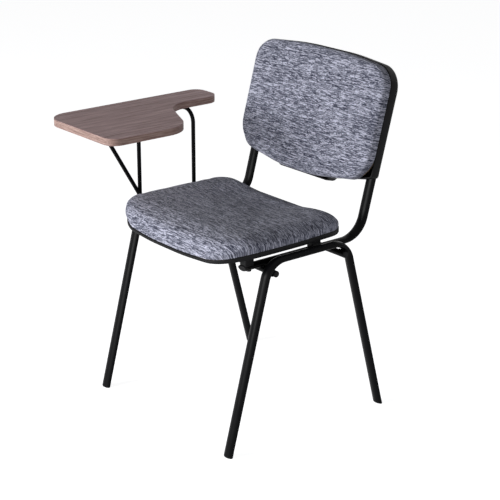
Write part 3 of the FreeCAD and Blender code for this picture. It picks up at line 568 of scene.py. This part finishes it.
# Geometry Nodes tree that sets a copy of a small shape on every point, turned to the point's own aim
def makeCopyTree():
    tree = bpy.data.node_groups.new("copiesOnPoints", "GeometryNodeTree")
    for name, kind in (("Points", "Geometry"), ("Shape", "Object"), ("Size", "Float"), ("Size spread", "Float"),
                       ("Turn spread", "Float"), ("Seed", "Int"), ("Finish", "Material")):
        tree.interface.new_socket(name, in_out="INPUT", socket_type="NodeSocket" + kind)
    tree.interface.new_socket("Copies", in_out="OUTPUT", socket_type="NodeSocketGeometry")
    given = addNode(tree, "NodeGroupInput").outputs
    aim = addNode(tree, "GeometryNodeInputNamedAttribute", {"Name": "aim"}, data_type="FLOAT_VECTOR")
    facing = addNode(tree, "FunctionNodeAlignRotationToVector", {"Vector": aim.outputs["Attribute"]}, axis="Z")
    turn = addNode(tree, "FunctionNodeRandomValue", {2: 0.0, 3: given["Turn spread"], 8: given["Seed"]},
                   data_type="FLOAT")
    spin = addNode(tree, "FunctionNodeAxisAngleToRotation", {"Axis": (0, 0, 1), "Angle": turn.outputs[1]})
    rotation = addNode(tree, "FunctionNodeRotateRotation", {
        "Rotation": facing.outputs["Rotation"], "Rotate By": spin.outputs["Rotation"]}, rotation_space="LOCAL")
    smallest = maths(tree, "SUBTRACT", given["Size"], given["Size spread"])
    largest = maths(tree, "ADD", given["Size"], given["Size spread"])
    size = addNode(tree, "FunctionNodeRandomValue", {2: smallest, 3: largest, 8: given["Seed"]}, data_type="FLOAT")
    shape = addNode(tree, "GeometryNodeObjectInfo", {"Object": given["Shape"], "As Instance": True})
    copies = addNode(tree, "GeometryNodeInstanceOnPoints", {
        "Points": given["Points"], "Instance": shape.outputs["Geometry"],
        "Rotation": rotation.outputs["Rotation"], "Scale": size.outputs[1]})
    real = addNode(tree, "GeometryNodeRealizeInstances", {"Geometry": copies.outputs["Instances"]})
    dressed = addNode(tree, "GeometryNodeSetMaterial", {"Geometry": real.outputs["Geometry"],
                                                        "Material": given["Finish"]})
    addNode(tree, "NodeGroupOutput", {"Copies": dressed.outputs["Geometry"]})
    return tree


copyTree = makeCopyTree()


# Plain mesh of copies of a shape at (place, aim) pairs
def copiesPiece(name, places, shape, slotName, **values):
    cloud = bpy.data.meshes.new(name + "Points")
    cloud.from_pydata([feetMiddle + Vector(place) * mm for place, aim in places], [], [])
    aims = cloud.attributes.new("aim", "FLOAT_VECTOR", "POINT")
    for index, (place, aim) in enumerate(places):
        aims.data[index].vector = Vector(aim)
    holder = addPiece(name + "Points", cloud)
    modifier = holder.modifiers.new("copies", "NODES")
    modifier.node_group = copyTree
    settings = {"Shape": shape, "Size": 1.0, "Size spread": 0.0, "Turn spread": 0.0, "Seed": 11,
                "Finish": finishes[slotName]}
    settings.update(values)
    for socket in copyTree.interface.items_tree:
        if socket.in_out == "INPUT" and socket.name in settings:
            modifier[socket.identifier] = settings[socket.name]
    result = evaluatedMesh(holder)
    result.name = name
    if "aim" in result.attributes:
        result.attributes.remove(result.attributes["aim"])
    holder.modifiers.clear()
    bpy.data.objects.remove(holder)
    bpy.data.objects.remove(shape)
    return addPiece(name, result)


crossSlot = {"halfWidth": 0.27, "narrowest": 0.01}


# Turned shape along its own Z, through (radius, height) pairs from its tip to its top; a pair may carry a recess
def turnedShape(name, profile, count=24):
    quarter, sixth = math.pi / 4, math.pi / 6
    draft = bmesh.new()
    loops = []
    for radius, height, *recess in profile:
        loop = []
        for step in range(count):
            angle = 2 * math.pi * step / count
            reach = radius
            if "hexagon" in recess:
                reach = radius * math.cos(sixth) / math.cos((angle + sixth) % (2 * sixth) - sixth)
            elif "cross" in recess:
                lean = abs((angle + quarter) % (2 * quarter) - quarter)
                slot = radius * crossSlot["halfWidth"] / max(math.sin(lean), crossSlot["narrowest"])
                reach = min(radius / math.cos(lean), slot)
            loop.append(draft.verts.new(Vector((reach * math.cos(angle), reach * math.sin(angle), height)) * mm))
        loops.append(loop)
    skinLoops(draft, loops)
    return closeDraft(name, draft, sharpFrom=32)


screwForm = {
    "tipTaper": 0.6, "tipLength": 0.8, "headBevel": 0.6, "headEase": 0.2, "recessTaper": 0.9, "recessFloor": 0.3,
    "dome": ((1, 0.3), (0.96, 0.55), (0.82, 0.82), (0.6, 0.97), (0.5, 1)),      # shares of radius and height
}


# Screw from its tip below to its rounded head above the seat at z = 0, with a recess in the head
def screwShape(name, head, headHeight, shank, length, recess, recessSize):
    f, radius, thin = screwForm, head / 2, shank / 2
    profile = [(thin - f["tipTaper"], -length), (thin, -length + f["tipLength"]), (thin, 0), (radius, 0)]
    if recess == "hexagon":
        bevel, ease = f["headBevel"], f["headEase"]
        profile += [(radius, headHeight - bevel), (radius - ease, headHeight - ease), (radius - bevel, headHeight)]
    else:
        profile += [(radius * out, headHeight * up) for out, up in f["dome"]]
    profile += [(recessSize, headHeight, recess),
                (recessSize * f["recessTaper"], headHeight * f["recessFloor"], recess)]
    return turnedShape(name, profile)


fixings = {
    # head and its height, shank and its length, recess and its size
    "seatScrew": (12.0, 3.2, 6.0, 42.0, "hexagon", 2.3),
    "backScrew": (9.5, 2.6, 4.8, 25.0, "cross", 2.5),
    "woodScrew": (8.0, 2.4, 4.0, 14.0, "cross", 2.1),
    "armBolt": (8.5, 3.3, 6.0, 26.0, "hexagon", 2.5),
}
fixingPlaces = {
    "seatRows": (-143.0, 52.0), "seatHeight": 417.0, "backRows": (168.0, 318.0), "backOut": -9.8,
    "lugX": -346.2, "lugRows": (-50.0, 18.0), "braceLugReach": 15, "boltRows": (-44.0, 44.0), "boltHeight": 447.6,
}


def makeFixings():
    p, railX, lugZ = fixingPlaces, backRail["x"], tabletRods["braceTop"]
    down = (0, 0, -1)
    rearward = backSpot(0, 0, -1) - backSpot(0, 0, 0)
    seatPlaces = [((side * railX, y, p["seatHeight"]), down) for side in (-1, 1) for y in p["seatRows"]]
    backPlaces = [(backSpot(side * railX, slope, p["backOut"]), rearward)
                  for side in (-1, 1) for slope in p["backRows"]]
    lugPlaces = [((p["lugX"], y, lugZ), down) for y in p["lugRows"]]
    lugPlaces += [((tabletRods["postX"], braceTopY + side * p["braceLugReach"], lugZ), down) for side in (-1, 1)]
    boltPlaces = [((-legLoop["x"], y, p["boltHeight"]), (0, 0, 1)) for y in p["boltRows"]]
    for name, kind, places, slotName, node in (
            ("seatScrews", "seatScrew", seatPlaces, "black_screws", "seat_screws"),
            ("backScrews", "backScrew", backPlaces, "black_screws", "back_screws"),
            ("tabletScrews", "woodScrew", lugPlaces, "zinc_steel", "tablet_screws"),
            ("armBolts", "armBolt", boltPlaces, "black_screws", "arm_bolts")):
        shape = screwShape(name + "Shape", *fixings[kind])
        handOver(copiesPiece(name, places, shape, slotName, **{"Turn spread": 6.28}), slotName, [node])


makeFixings()
print("screws and bolts done")


# Welds: a row of small overlapping drops along each joint of the frame
weldBead = {
    "pitch": 1.3, "radius": 1.55, "spread": 0.12,
    # a row is how far it lies out from the bar's middle, and how far down from its top
    "barFrom": -11.0, "barTo": 8.0, "barRows": ((3.4, 0.6), (8.2, 11.4)), "railReach": 9.0, "railRow": (3.6, 0.2),
    "plateHeights": (448.0, 443.2), "plateRadius": 5.3, "plateArc": 85,
    "braceSide": 4.6, "braceFrom": (-101.0, 466.5), "braceTo": (-105.5, 478.0),
    "topHeight": 651.6, "topRadius": 5.7, "lugX": -335.4, "lugHeight": 651.4, "lugReach": 11,
}


def lineOf(start, end):
    start, end = Vector(start), Vector(end)
    count = max(2, int((end - start).length / weldBead["pitch"]))
    return [start.lerp(end, step / count) for step in range(count + 1)]


def ringOf(centre, radius, first=0.0, last=360.0):
    count = int(math.radians(last - first) * radius / weldBead["pitch"])
    angles = [math.radians(first + (last - first) * step / count) for step in range(count + 1)]
    return [Vector(centre) + Vector((math.cos(angle), math.sin(angle), 0)) * radius for angle in angles]


def makeWelds():
    w, postX = weldBead, tabletRods["postX"]
    beads = []
    barTop = crossbar["height"] + crossbar["diameter"] / 2
    for barY, towardsEnd in ((frontBarY, -1), (rearBarY, 1)):
        for side in (-1, 1):
            x = side * legLoop["x"]
            for out, down in w["barRows"]:
                y, z = barY + towardsEnd * out, barTop - down
                beads += lineOf((x + w["barFrom"], y, z), (x + w["barTo"], y, z))
            x = side * backRail["x"]
            out, down = w["railRow"]
            for edge in (-1, 1):
                y, z = barY + edge * out, barTop - down
                beads += lineOf((x - w["railReach"], y, z), (x + w["railReach"], y, z))
    # posts and brace: round the rods on the plate, and where the brace leaves the front post
    for y in (tabletRods["rearY"], tabletRods["frontY"]):
        for z in w["plateHeights"]:
            beads += ringOf((postX, y, z), w["plateRadius"], -w["plateArc"], w["plateArc"])
    for side in (-1, 1):
        x = postX + side * w["braceSide"]
        beads += lineOf((x, *w["braceFrom"]), (x, *w["braceTo"]))
    beads += ringOf((postX, braceTopY, w["topHeight"]), w["topRadius"])
    for y in fixingPlaces["lugRows"]:
        beads += lineOf(*[(w["lugX"], y + end * w["lugReach"], w["lugHeight"]) for end in (-1, 1)])
    draft = bmesh.new()
    bmesh.ops.create_icosphere(draft, subdivisions=2, radius=w["radius"] * mm)
    drop = bpy.data.meshes.new("weldDrop")
    draft.to_mesh(drop)
    draft.free()
    drop.shade_smooth()
    places = [(place, (0, 0, 1)) for place in beads]
    spread = {"Size spread": w["spread"]}
    handOver(copiesPiece("frameWelds", places, addPiece("weldDrop", drop), "black_frame", **spread), "black_frame")


makeWelds()
print("welds done")


# Outline through corners (x, y, radius), rounded, as a closed list of points
def roundedOutline(corners, spacing):
    points = []
    count = len(corners)
    for index in range(count):
        corner = Vector(corners[index][:2])
        before = (Vector(corners[index - 1][:2]) - corner).normalized()
        after = (Vector(corners[(index + 1) % count][:2]) - corner).normalized()
        radius = corners[index][2]
        half = (math.pi - before.angle(after)) / 2
        reach = radius * math.tan(half)
        centre = corner + (before + after).normalized() * (radius / math.cos(half))
        start = corner + before * reach - centre
        turn = 2 * half * (1 if before.cross(after) < 0 else -1)
        steps = max(2, int(abs(turn) * radius / spacing))
        for step in range(steps + 1):
            angle = turn * step / steps
            points.append(centre + Matrix.Rotation(angle, 2) @ start)
    return points


def mirrored(half):
    return half + [(-x, y, radius) for x, y, radius in reversed(half)]


# The same outline set in by a distance, square to its own edge
def setIn(points, distance):
    count = len(points)
    moved = []
    for index in range(count):
        along = (points[(index + 1) % count] - points[index - 1]).normalized()
        moved.append(points[index] + Vector((-along.y, along.x)) * distance)
    return moved


# Tablet: laminate board with a wood-look band let into its edge
tablet = {
    "corners": ((-370.5, -293.5, 55.0), (-92.0, -293.5, 32.0), (-92.0, -80.9, 77.0), (-277.0, 1.3, 80.0),
                (-277.0, 159.0, 35.0), (-370.5, 159.0, 28.0)),
    "top": 672.0, "thickness": 17.0, "lip": 0.7, "bandDepth": 1.2, "bandShy": 0.06, "spacing": 2.0,
    "boardEdge": ((0.45, 0.0), (0.1, 0.12), (0.0, 0.4)),
}


def makeTablet():
    t = tablet
    outline = roundedOutline(t["corners"], t["spacing"])
    bottom = t["top"] - t["thickness"]

    def layer(inset, height):
        return [Vector((point.x, point.y, height)) for point in setIn(outline, inset)]

    inner, outer = t["bandDepth"], t["bandShy"]
    low, high = bottom + t["lip"], t["top"] - t["lip"]
    lower = [layer(inset, bottom + rise) for inset, rise in t["boardEdge"]]
    upper = [layer(inset, t["top"] - rise) for inset, rise in reversed(t["boardEdge"])]
    neck = [layer(0, low), layer(inner, low), layer(inner, high), layer(0, high)]
    handOver(skinPiece("tabletBoard", [lower + neck + upper], sharpFrom=12), "walnut_laminate", ["tablet_board"])

    # the band is a closed ring; its grain follows the edge
    draft = bmesh.new()
    flow = draft.verts.layers.float_vector.new("edgeFlow")
    loops = []
    for inset, height in ((inner, low), (outer, low), (outer, high), (inner, high)):
        loop = []
        travelled = 0.0
        for index, point in enumerate(layer(inset, height)):
            if index:
                travelled += (outline[index] - outline[index - 1]).length
            vertex = draft.verts.new(feetMiddle + point * mm)
            vertex[flow] = Vector((travelled, height - bottom, inset)) * mm
            loop.append(vertex)
        loops.append(loop)
    for number, loop in enumerate(loops):
        joinLoops(draft, loop, loops[(number + 1) % len(loops)])
    handOver(closeDraft("tabletBand", draft, sharpFrom=30), "edge_band", ["tablet_edge_band"])


makeTablet()
print("tablet done")


# Back shell: a thin moulded dish around the uprights, rounded towards the rear
backShell = {
    "rear": -9.8, "rim": 18.3, "wall": 2.5, "sideRound": 9.5, "endRound": 4.5, "roundSteps": 7,
    "rimEase": 0.5, "easeIn": 0.4, "easeDown": 0.1,
    "halfWidth": 227.0, "top": 407.5, "foot": 102.5, "spacing": 2.5,
    "corners": ((88.0, 102.5, 12.0), (95.0, 111.5, 12.0), (193.0, 131.0, 80.0), (227.0, 141.0, 6.0),
                (227.0, 394.5, 58.0), (80.0, 407.5, 700.0)),
}


def makeBackShell():
    b = backShell
    outline = roundedOutline(mirrored(list(b["corners"])), b["spacing"])
    middle = (b["top"] + b["foot"]) / 2
    halfHeight = (b["top"] - b["foot"]) / 2

    def layer(sideInset, endInset, out):
        across, along = 1 - sideInset / b["halfWidth"], 1 - endInset / halfHeight
        return [backSpot(point.x * across, middle + (point.y - middle) * along, out) for point in outline]

    rear, rim, wall, ease = b["rear"], b["rim"], b["wall"], b["rimEase"]
    rings = []
    for step in range(b["roundSteps"] + 1):
        angle = math.pi / 2 * (1 - step / b["roundSteps"])
        fall, rise = 1 - math.cos(angle), 1 - math.sin(angle)
        rings.append(layer(b["sideRound"] * fall, b["endRound"] * fall, rear + b["sideRound"] * rise))
    eased = ease * b["easeIn"]
    rings += [layer(0, 0, rim - ease), layer(eased, eased, rim - ease * b["easeDown"]), layer(ease, ease, rim),
              layer(wall, wall, rim), layer(wall, wall, rear + b["sideRound"]),
              layer(b["sideRound"], wall + b["endRound"], rear + wall)]
    handOver(skinPiece("backShell", [rings], sharpFrom=28), "black_plastic", ["back_shell"])


makeBackShell()
print("back shell done")


# From a pad's centre: how far its outline lies in a direction, and which way its edge faces there
class OutlineTable:
    spacing, tiny = 1.5, 1e-6

    def __init__(self, corners, centre):
        self.points = [point - Vector(centre) for point in roundedOutline(corners, self.spacing)]
        self.known = {}

    def reach(self, direction):
        key = (round(direction.x, 6), round(direction.y, 6))
        if key not in self.known:
            best, facing = 0, Vector((0, 1))
            count = len(self.points)
            for index in range(count):
                a, b = self.points[index], self.points[(index + 1) % count]
                edge = b - a
                bottom = direction.x * edge.y - direction.y * edge.x
                if abs(bottom) < 1e-9:
                    continue
                length = (a.x * edge.y - a.y * edge.x) / bottom
                share = (a.x * direction.y - a.y * direction.x) / bottom
                if length > best and -self.tiny <= share <= 1 + self.tiny:
                    best, facing = length, Vector((edge.y, -edge.x)).normalized()
            if facing.dot(direction) < 0:
                facing = -facing
            self.known[key] = (best, facing)
        return self.known[key]


# Closed pad: a square grid pulled out to the outline above and below, with rings for its sides.
# Each point also keeps its place on the flat cover, for the weave.
def padMesh(name, table, rings, cells, place, sharpFrom=None):
    draft = bmesh.new()
    cover = draft.verts.layers.float_vector.new("cover")
    half = cells // 2

    def addPoint(i, j, level, ring=None):
        # the corners of the grid are eased towards a circle so that its cells stay even
        u, v = i / half, j / half
        direction = Vector((u * math.sqrt(1 - v * v / 2), v * math.sqrt(1 - u * u / 2)))
        direction = direction.normalized() if direction.length > 0 else Vector((0, 1))
        rim, facing = table.reach(direction)
        spot, flat = place(direction, rim, facing, max(abs(i), abs(j)) / half, level, ring)
        vertex = draft.verts.new(feetMiddle + spot * mm)
        vertex[cover] = Vector((flat.x, flat.y, 0)) * mm
        return vertex

    span = range(-half, half + 1)
    top, bottom = [{(i, j): addPoint(i, j, level) for i in span for j in span} for level in ("top", "bottom")]
    for i in range(-half, half):
        for j in range(-half, half):
            draft.faces.new([top[i, j], top[i + 1, j], top[i + 1, j + 1], top[i, j + 1]])
            draft.faces.new([bottom[i, j], bottom[i, j + 1], bottom[i + 1, j + 1], bottom[i + 1, j]])
    edge = ([(i, -half) for i in range(-half, half)] + [(half, j) for j in range(-half, half)]
            + [(i, half) for i in range(half, -half, -1)] + [(-half, j) for j in range(half, -half, -1)])
    loops = [[top[key] for key in edge]]
    loops += [[addPoint(i, j, "side", ring) for i, j in edge] for ring in rings]
    loops.append([bottom[key] for key in edge])
    for upper, lower in zip(loops, loops[1:]):
        for index in range(len(edge)):
            follow = (index + 1) % len(edge)
            draft.faces.new([upper[index], lower[index], lower[follow], upper[follow]])
    return closeDraft(name, draft, sharpFrom)


def easeBetween(value, low, high):
    share = min(1.0, max(0.0, (value - low) / (high - low)))
    return share * share * (3 - 2 * share)


# Where a pad's point lies in plan, how far in from the edge, and how far up its side
def padPlan(pad, centre, direction, rim, facing, share, level, ring, bulge):
    if level == "top":
        return centre + direction * rim * share, rim * (1 - share) * direction.dot(facing), 1.0
    proud, height = ring or (-pad["boardInset"], 0.0)
    inset = -bulge * proud if proud > 0 else -proud
    return centre + (direction * rim - facing * inset) * share, inset, height


crownPower = {"along": 2.6, "up": 1.6}


# Height of a padded top, as a share of its full height, at a distance in from the edge
def crownShare(distance, shoulder, sideShare):
    if distance >= shoulder:
        return 1.0
    share = max(0.0, distance) / shoulder
    return sideShare + (1 - sideShare) * (1 - (1 - share) ** crownPower["along"]) ** (1 / crownPower["up"])


clothValues = {"tension_stiffness": 30, "compression_stiffness": 20, "bending_stiffness": 2.5, "quality": 6}


# Lets the cover swell under a little pressure, then caps how far any point may move
def puff(piece, cells, pressure, cap, frames=20):
    gridTotal, ringSize, total = (cells + 1) ** 2, 4 * cells, len(piece.data.vertices)
    rest = [vertex.co.copy() for vertex in piece.data.vertices]
    group = piece.vertex_groups.new(name="held")
    underside, lowestRings = range(gridTotal, 2 * gridTotal), range(total - 3 * ringSize, total)
    group.add(list(underside) + list(lowestRings), 1.0, "REPLACE")
    cloth = piece.modifiers.new("cover", "CLOTH")
    settings = cloth.settings
    settings.use_pressure = True
    settings.uniform_pressure_force = pressure
    settings.effector_weights.gravity = 0
    settings.vertex_group_mass = "held"
    for name, value in clothValues.items():
        setattr(settings, name, value)
    cloth.point_cache.frame_start = 1
    cloth.point_cache.frame_end = frames
    scene = bpy.context.scene
    for number in range(1, frames + 1):
        scene.frame_set(number)
    swollen = evaluatedMesh(piece)
    piece.modifiers.clear()
    for vertex, moved, start in zip(piece.data.vertices, swollen.vertices, rest):
        step = moved.co - start
        if step.length > cap:
            step *= cap / step.length
        vertex.co = start + step
    bpy.data.meshes.remove(swollen)
    piece.vertex_groups.clear()
    scene.frame_set(1)


# Pad with its cover swollen and one subdivision made real, handed over as a padded piece
def makePad(name, pad, table, place, node):
    cells = pad["cells"]
    piece = padMesh(name, table, list(pad["sideRings"]) + [(-pad["boardInset"], 0.0)], cells, place)
    puff(piece, cells, pad["pressure"], pad["cap"])
    smooth = piece.modifiers.new("smooth", "SUBSURF")
    smooth.levels = smooth.render_levels = 1
    coarse = piece.data
    fine = evaluatedMesh(piece)
    piece.modifiers.clear()
    piece.data = fine
    bpy.data.meshes.remove(coarse)
    fine.name = piece.name
    fine.shade_smooth()
    handOver(piece, "grey_fabric", [node])


# Seat shell: a moulded pan under the pad, bent down along the front, on blocks that stand on the rails
seatShell = {
    "corners": ((65.0, -215.5, 900.0), (238.0, -201.5, 112.0), (238.0, -15.0, 600.0), (228.0, 134.0, 55.0)),
    "middle": -39.0, "underside": 450.0, "bendStart": 97.0, "bendRadius": 291.0,
    "rimSide": 11.5, "rimBendStart": 102.0, "rimBendRadius": 228.0,
    "floor": 2.5, "wall": 2.5, "edgeRound": 1.6, "edgeEase": 0.3, "rimBevel": 0.3, "cells": 48,
    "blockWidth": 22.0, "blockLength": 24.0, "blockRound": 2.5, "blockForward": 5.0,
    "blockSpacing": 0.8, "blockOverlap": 0.5,
}


def fallInFront(y, start, radius):
    depth = max(0.0, -start - y)
    return radius - math.sqrt(radius * radius - depth * depth)


def seatFloor(y):
    return seatShell["underside"] - fallInFront(y, seatShell["bendStart"], seatShell["bendRadius"])


def seatRim(y):
    fall = fallInFront(y, seatShell["rimBendStart"], seatShell["rimBendRadius"])
    return seatShell["underside"] + seatShell["rimSide"] - fall


def makeSeatShell():
    s = seatShell
    centre = Vector((0, s["middle"]))
    table = OutlineTable(mirrored(list(s["corners"])), centre)

    def place(direction, rim, facing, share, level, ring):
        inset, fromRim, rise = ring or (s["wall"], False, s["floor"])
        if level == "bottom":
            inset, rise = s["edgeRound"], 0.0
        plan = centre + (direction * rim - facing * inset) * share
        z = (seatRim(plan.y) if fromRim else seatFloor(plan.y)) + rise
        return Vector((plan.x, plan.y, z)), plan

    wall, bevel, edgeRound = s["wall"], s["rimBevel"], s["edgeRound"]
    eased = edgeRound * s["edgeEase"]
    rings = [(wall, True, -bevel), (wall - bevel, True, 0.0), (bevel, True, 0.0), (0.0, True, -bevel),
             (0.0, False, edgeRound), (eased, False, eased)]
    handOver(padMesh("seatShell", table, rings, s["cells"], place, sharpFrom=40), "black_plastic", ["seat_shell"])
    x, y, rounded = s["blockWidth"] / 2, s["blockLength"] / 2, s["blockRound"]
    corners = [(-x, -y, rounded), (x, -y, rounded), (x, y, rounded), (-x, y, rounded)]
    outline = roundedOutline(corners, s["blockSpacing"])
    blocks = []
    for side in (-1, 1):
        for row in fixingPlaces["seatRows"]:
            spot = Vector((side * backRail["x"], row - s["blockForward"]))
            plan = [spot + point for point in outline]
            blocks.append([[Vector((point.x, point.y, backRail["height"])) for point in plan],
                           [Vector((point.x, point.y, seatFloor(point.y) + s["blockOverlap"])) for point in plan]])
    handOver(skinPiece("seatBlocks", blocks), "black_plastic")


makeSeatShell()
print("seat shell done")


# Seat pad: falls towards the front, level behind, dished in the middle towards the rear
seatPad = {
    "corners": ((65.0, -214.5, 900.0), (237.0, -200.5, 111.0), (237.0, -15.0, 600.0), (227.0, 133.0, 54.0)),
    "middle": -39.0, "rimGap": -0.2,
    "topHeight": 38.5, "frontRise": 10.5, "frontRiseFrom": 97.0, "frontRiseTo": 208.0,
    "shoulder": 42.0, "sideShare": 0.48, "frontShoulder": 18.0, "frontSideShare": 0.77,
    "dish": 7.0, "dishFlat": 70.0, "dishEnd": 155.0, "dishFrontFrom": -60.0, "dishFrontTo": 60.0,
    "bulge": 1.0, "cornerBulge": 6.2, "cornerWay": (0.777, 0.629), "cornerFacing": (0.8, 1.0),
    "frontFacing": (0.1, 0.75), "swellShare": 0.5, "swellReach": 0.6, "coverStretch": 0.9,
    "boardInset": 2.4, "boardTop": 13.8, "cells": 72, "pressure": 4.0, "cap": 0.0022,
    "sideRings": ((0.75, 0.82), (1.0, 0.6), (0.75, 0.38), (0.17, 0.2), (-0.6, 0.08), (-1.3, 0.0)),
}


def makeSeatPad():
    s = seatPad
    centre = Vector((0, s["middle"]))
    table = OutlineTable(mirrored(list(s["corners"])), centre)

    def place(direction, rim, facing, share, level, ring):
        forward, sideways = s["cornerWay"]
        corner = easeBetween(abs(facing.x) * sideways - facing.y * forward, *s["cornerFacing"])
        bulge = s["bulge"] + s["cornerBulge"] * corner
        plan, inset, height = padPlan(s, centre, direction, rim, facing, share, level, ring, bulge)
        floor = seatFloor(plan.y)
        rimTop = seatRim(plan.y) + s["rimGap"]
        frontward = easeBetween(-facing.y, *s["frontFacing"])
        shoulder = s["shoulder"] + (s["frontShoulder"] - s["shoulder"]) * frontward
        sideShare = s["sideShare"] + (s["frontSideShare"] - s["sideShare"]) * frontward
        top = floor + s["topHeight"] + s["frontRise"] * easeBetween(-plan.y, s["frontRiseFrom"], s["frontRiseTo"])
        hollow = 1 - easeBetween(abs(plan.x), s["dishFlat"], s["dishEnd"])
        hollow *= easeBetween(plan.y, s["dishFrontFrom"], s["dishFrontTo"])
        crest = top - s["dish"] * hollow
        if level == "bottom":
            z = max(floor + s["boardTop"], rimTop)
        elif level == "side":
            z = rimTop + (crest - rimTop) * sideShare * height
        else:
            z = rimTop + (crest - rimTop) * crownShare(inset, shoulder, sideShare)
            # the swell of the corners fades out over the shoulder
            nearEdge = 1 - easeBetween(inset, 0, shoulder * s["swellReach"])
            plan = plan + facing * bulge * s["swellShare"] * nearEdge
        flat = plan + facing * max(0.0, crest - z) * s["coverStretch"]
        return Vector((plan.x, plan.y, z)), flat

    makePad("seatPad", s, table, place, "seat_cushion")


makeSeatPad()
print("seat pad done")


# Back pad: crowned on the front of the leaning shell
backPad = {
    "foot": 107.5, "top": 407.5,
    "corners": ((60.0, 107.5, 500.0), (190.0, 127.0, 40.0), (227.0, 171.0, 60.0),
                (227.0, 394.5, 58.0), (80.0, 407.5, 700.0)),
    "rim": 18.5, "thickness": 33.5, "shoulder": 48.0, "sideShare": 0.73,
    "bulge": 3.4, "lowerBulge": 1.2, "topDrawIn": 1.4,
    "upperFacing": (0.35, 0.9), "underFacing": (0.5, 0.97), "lowerPart": (-0.1, 0.5),
    "swellShare": 0.6, "swellReach": 0.6, "coverStretch": 0.9,
    "boardInset": 6.0, "cells": 72, "pressure": 4.0, "cap": 0.002,
    "sideRings": ((0.8, 0.82), (1.0, 0.6), (0.9, 0.4), (0.55, 0.2), (-0.2, 0.06), (-1.6, 0.0)),
}


def makeBackPad():
    b = backPad
    centre = Vector((0, (b["top"] + b["foot"]) / 2))
    table = OutlineTable(mirrored(list(b["corners"])), centre)

    def place(direction, rim, facing, share, level, ring):
        # upper is 1 along the top edge and under along the bottom edge, where the fabric stays inside the shell
        upper = easeBetween(facing.y, *b["upperFacing"])
        under = easeBetween(-facing.y, *b["underFacing"])
        lower = easeBetween(-direction.y, *b["lowerPart"])
        bulge = (b["bulge"] + b["lowerBulge"] * lower) * (1 - upper) * (1 - under)
        plan, inset, height = padPlan(b, centre, direction, rim, facing, share, level, ring, bulge)
        nearEdge = 1 - easeBetween(inset, 0, b["shoulder"] * b["swellReach"])
        plan -= Vector((0, b["topDrawIn"])) * upper * nearEdge
        if level == "top":
            out = b["rim"] + b["thickness"] * crownShare(inset, b["shoulder"], b["sideShare"])
            plan = plan + facing * bulge * b["swellShare"] * nearEdge
        elif level == "side":
            out = b["rim"] + b["thickness"] * b["sideShare"] * height
        else:
            out = b["rim"]
        flat = plan + facing * (b["rim"] + b["thickness"] - out) * b["coverStretch"]
        return backSpot(plan.x, plan.y, out), flat

    makePad("backPad", b, table, place, "back_cushion")


makeBackPad()
print("back pad done")


# Floor, light and camera
studio = {
    "floorColour": (0.86, 0.87, 0.9, 1), "floorSize": 14.0, "floorGlow": 0.86,
    "ambient": 0.108, "aimHeight": 0.5,
    "keyDirection": (-0.30, -0.94, 0.17), "keyDistance": 3.4, "keySize": 1.3, "keyPower": 112,
    "fillDirection": (0.90, -0.30, 0.16), "fillDistance": 3.4, "fillSize": 1.8, "fillPower": 26,
}
cameraView = {"place": (2668.09, -2126.17, 1578.30), "azimuth": 51.053, "elevation": 19.454, "lens": 110.18}


# Rays that look at the background: seen directly, mirrored or through glass
def lookingRays(tree):
    rays = addNode(tree, "ShaderNodeLightPath").outputs
    indirect = maths(tree, "MAXIMUM", rays["Is Glossy Ray"], rays["Is Transmission Ray"])
    return maths(tree, "MAXIMUM", rays["Is Camera Ray"], indirect)


def makeFloor():
    half = studio["floorSize"] / 2
    mesh = bpy.data.meshes.new("floor")
    mesh.from_pydata([(-half, -half, 0), (half, -half, 0), (half, half, 0), (-half, half, 0)], [], [(0, 1, 2, 3)])
    floor = addPiece("floor", mesh)
    material, tree, shader = startMaterial("paleFloor", 0.9, 0.0, 0.0)
    shader.inputs["Base Color"].default_value = studio["floorColour"]
    shader.inputs["Emission Color"].default_value = (1, 1, 1, 1)
    glow = multiply(tree, lookingRays(tree), studio["floorGlow"])
    tree.links.new(glow, shader.inputs["Emission Strength"])
    mesh.materials.append(material)


def makeWorld():
    world = bpy.data.worlds.new("studioWorld")
    bpy.context.scene.world = world
    world.use_nodes = True
    tree = world.node_tree
    background = next(node for node in tree.nodes if node.type == "BACKGROUND")
    background.inputs["Color"].default_value = (1, 1, 1, 1)
    tree.links.new(maths(tree, "MAXIMUM", lookingRays(tree), studio["ambient"]), background.inputs["Strength"])


def makeLamp(kind):
    name = kind + "Lamp"
    lamp = bpy.data.lights.new(name, "AREA")
    lamp.shape = "DISK"
    lamp.size = studio[kind + "Size"]
    lamp.energy = studio[kind + "Power"]
    holder = addPiece(name, lamp)
    target = feetMiddle + Vector((0, 0, studio["aimHeight"]))
    holder.location = target + Vector(studio[kind + "Direction"]).normalized() * studio[kind + "Distance"]
    holder.rotation_euler = (target - holder.location).to_track_quat("-Z", "Y").to_euler()


def makeCamera():
    camera = bpy.data.cameras.new("camera")
    camera.sensor_width = 36
    camera.lens = cameraView["lens"]
    camera.clip_end = 50
    holder = addPiece("camera", camera)
    holder.location = feetMiddle + Vector(cameraView["place"]) * mm
    holder.rotation_euler = (math.radians(90 - cameraView["elevation"]), 0, math.radians(cameraView["azimuth"]))
    bpy.context.scene.camera = holder


makeFloor()
makeWorld()
makeLamp("key")
makeLamp("fill")
makeCamera()
bpy.context.scene.view_settings.view_transform = "Standard"
print("studio set")
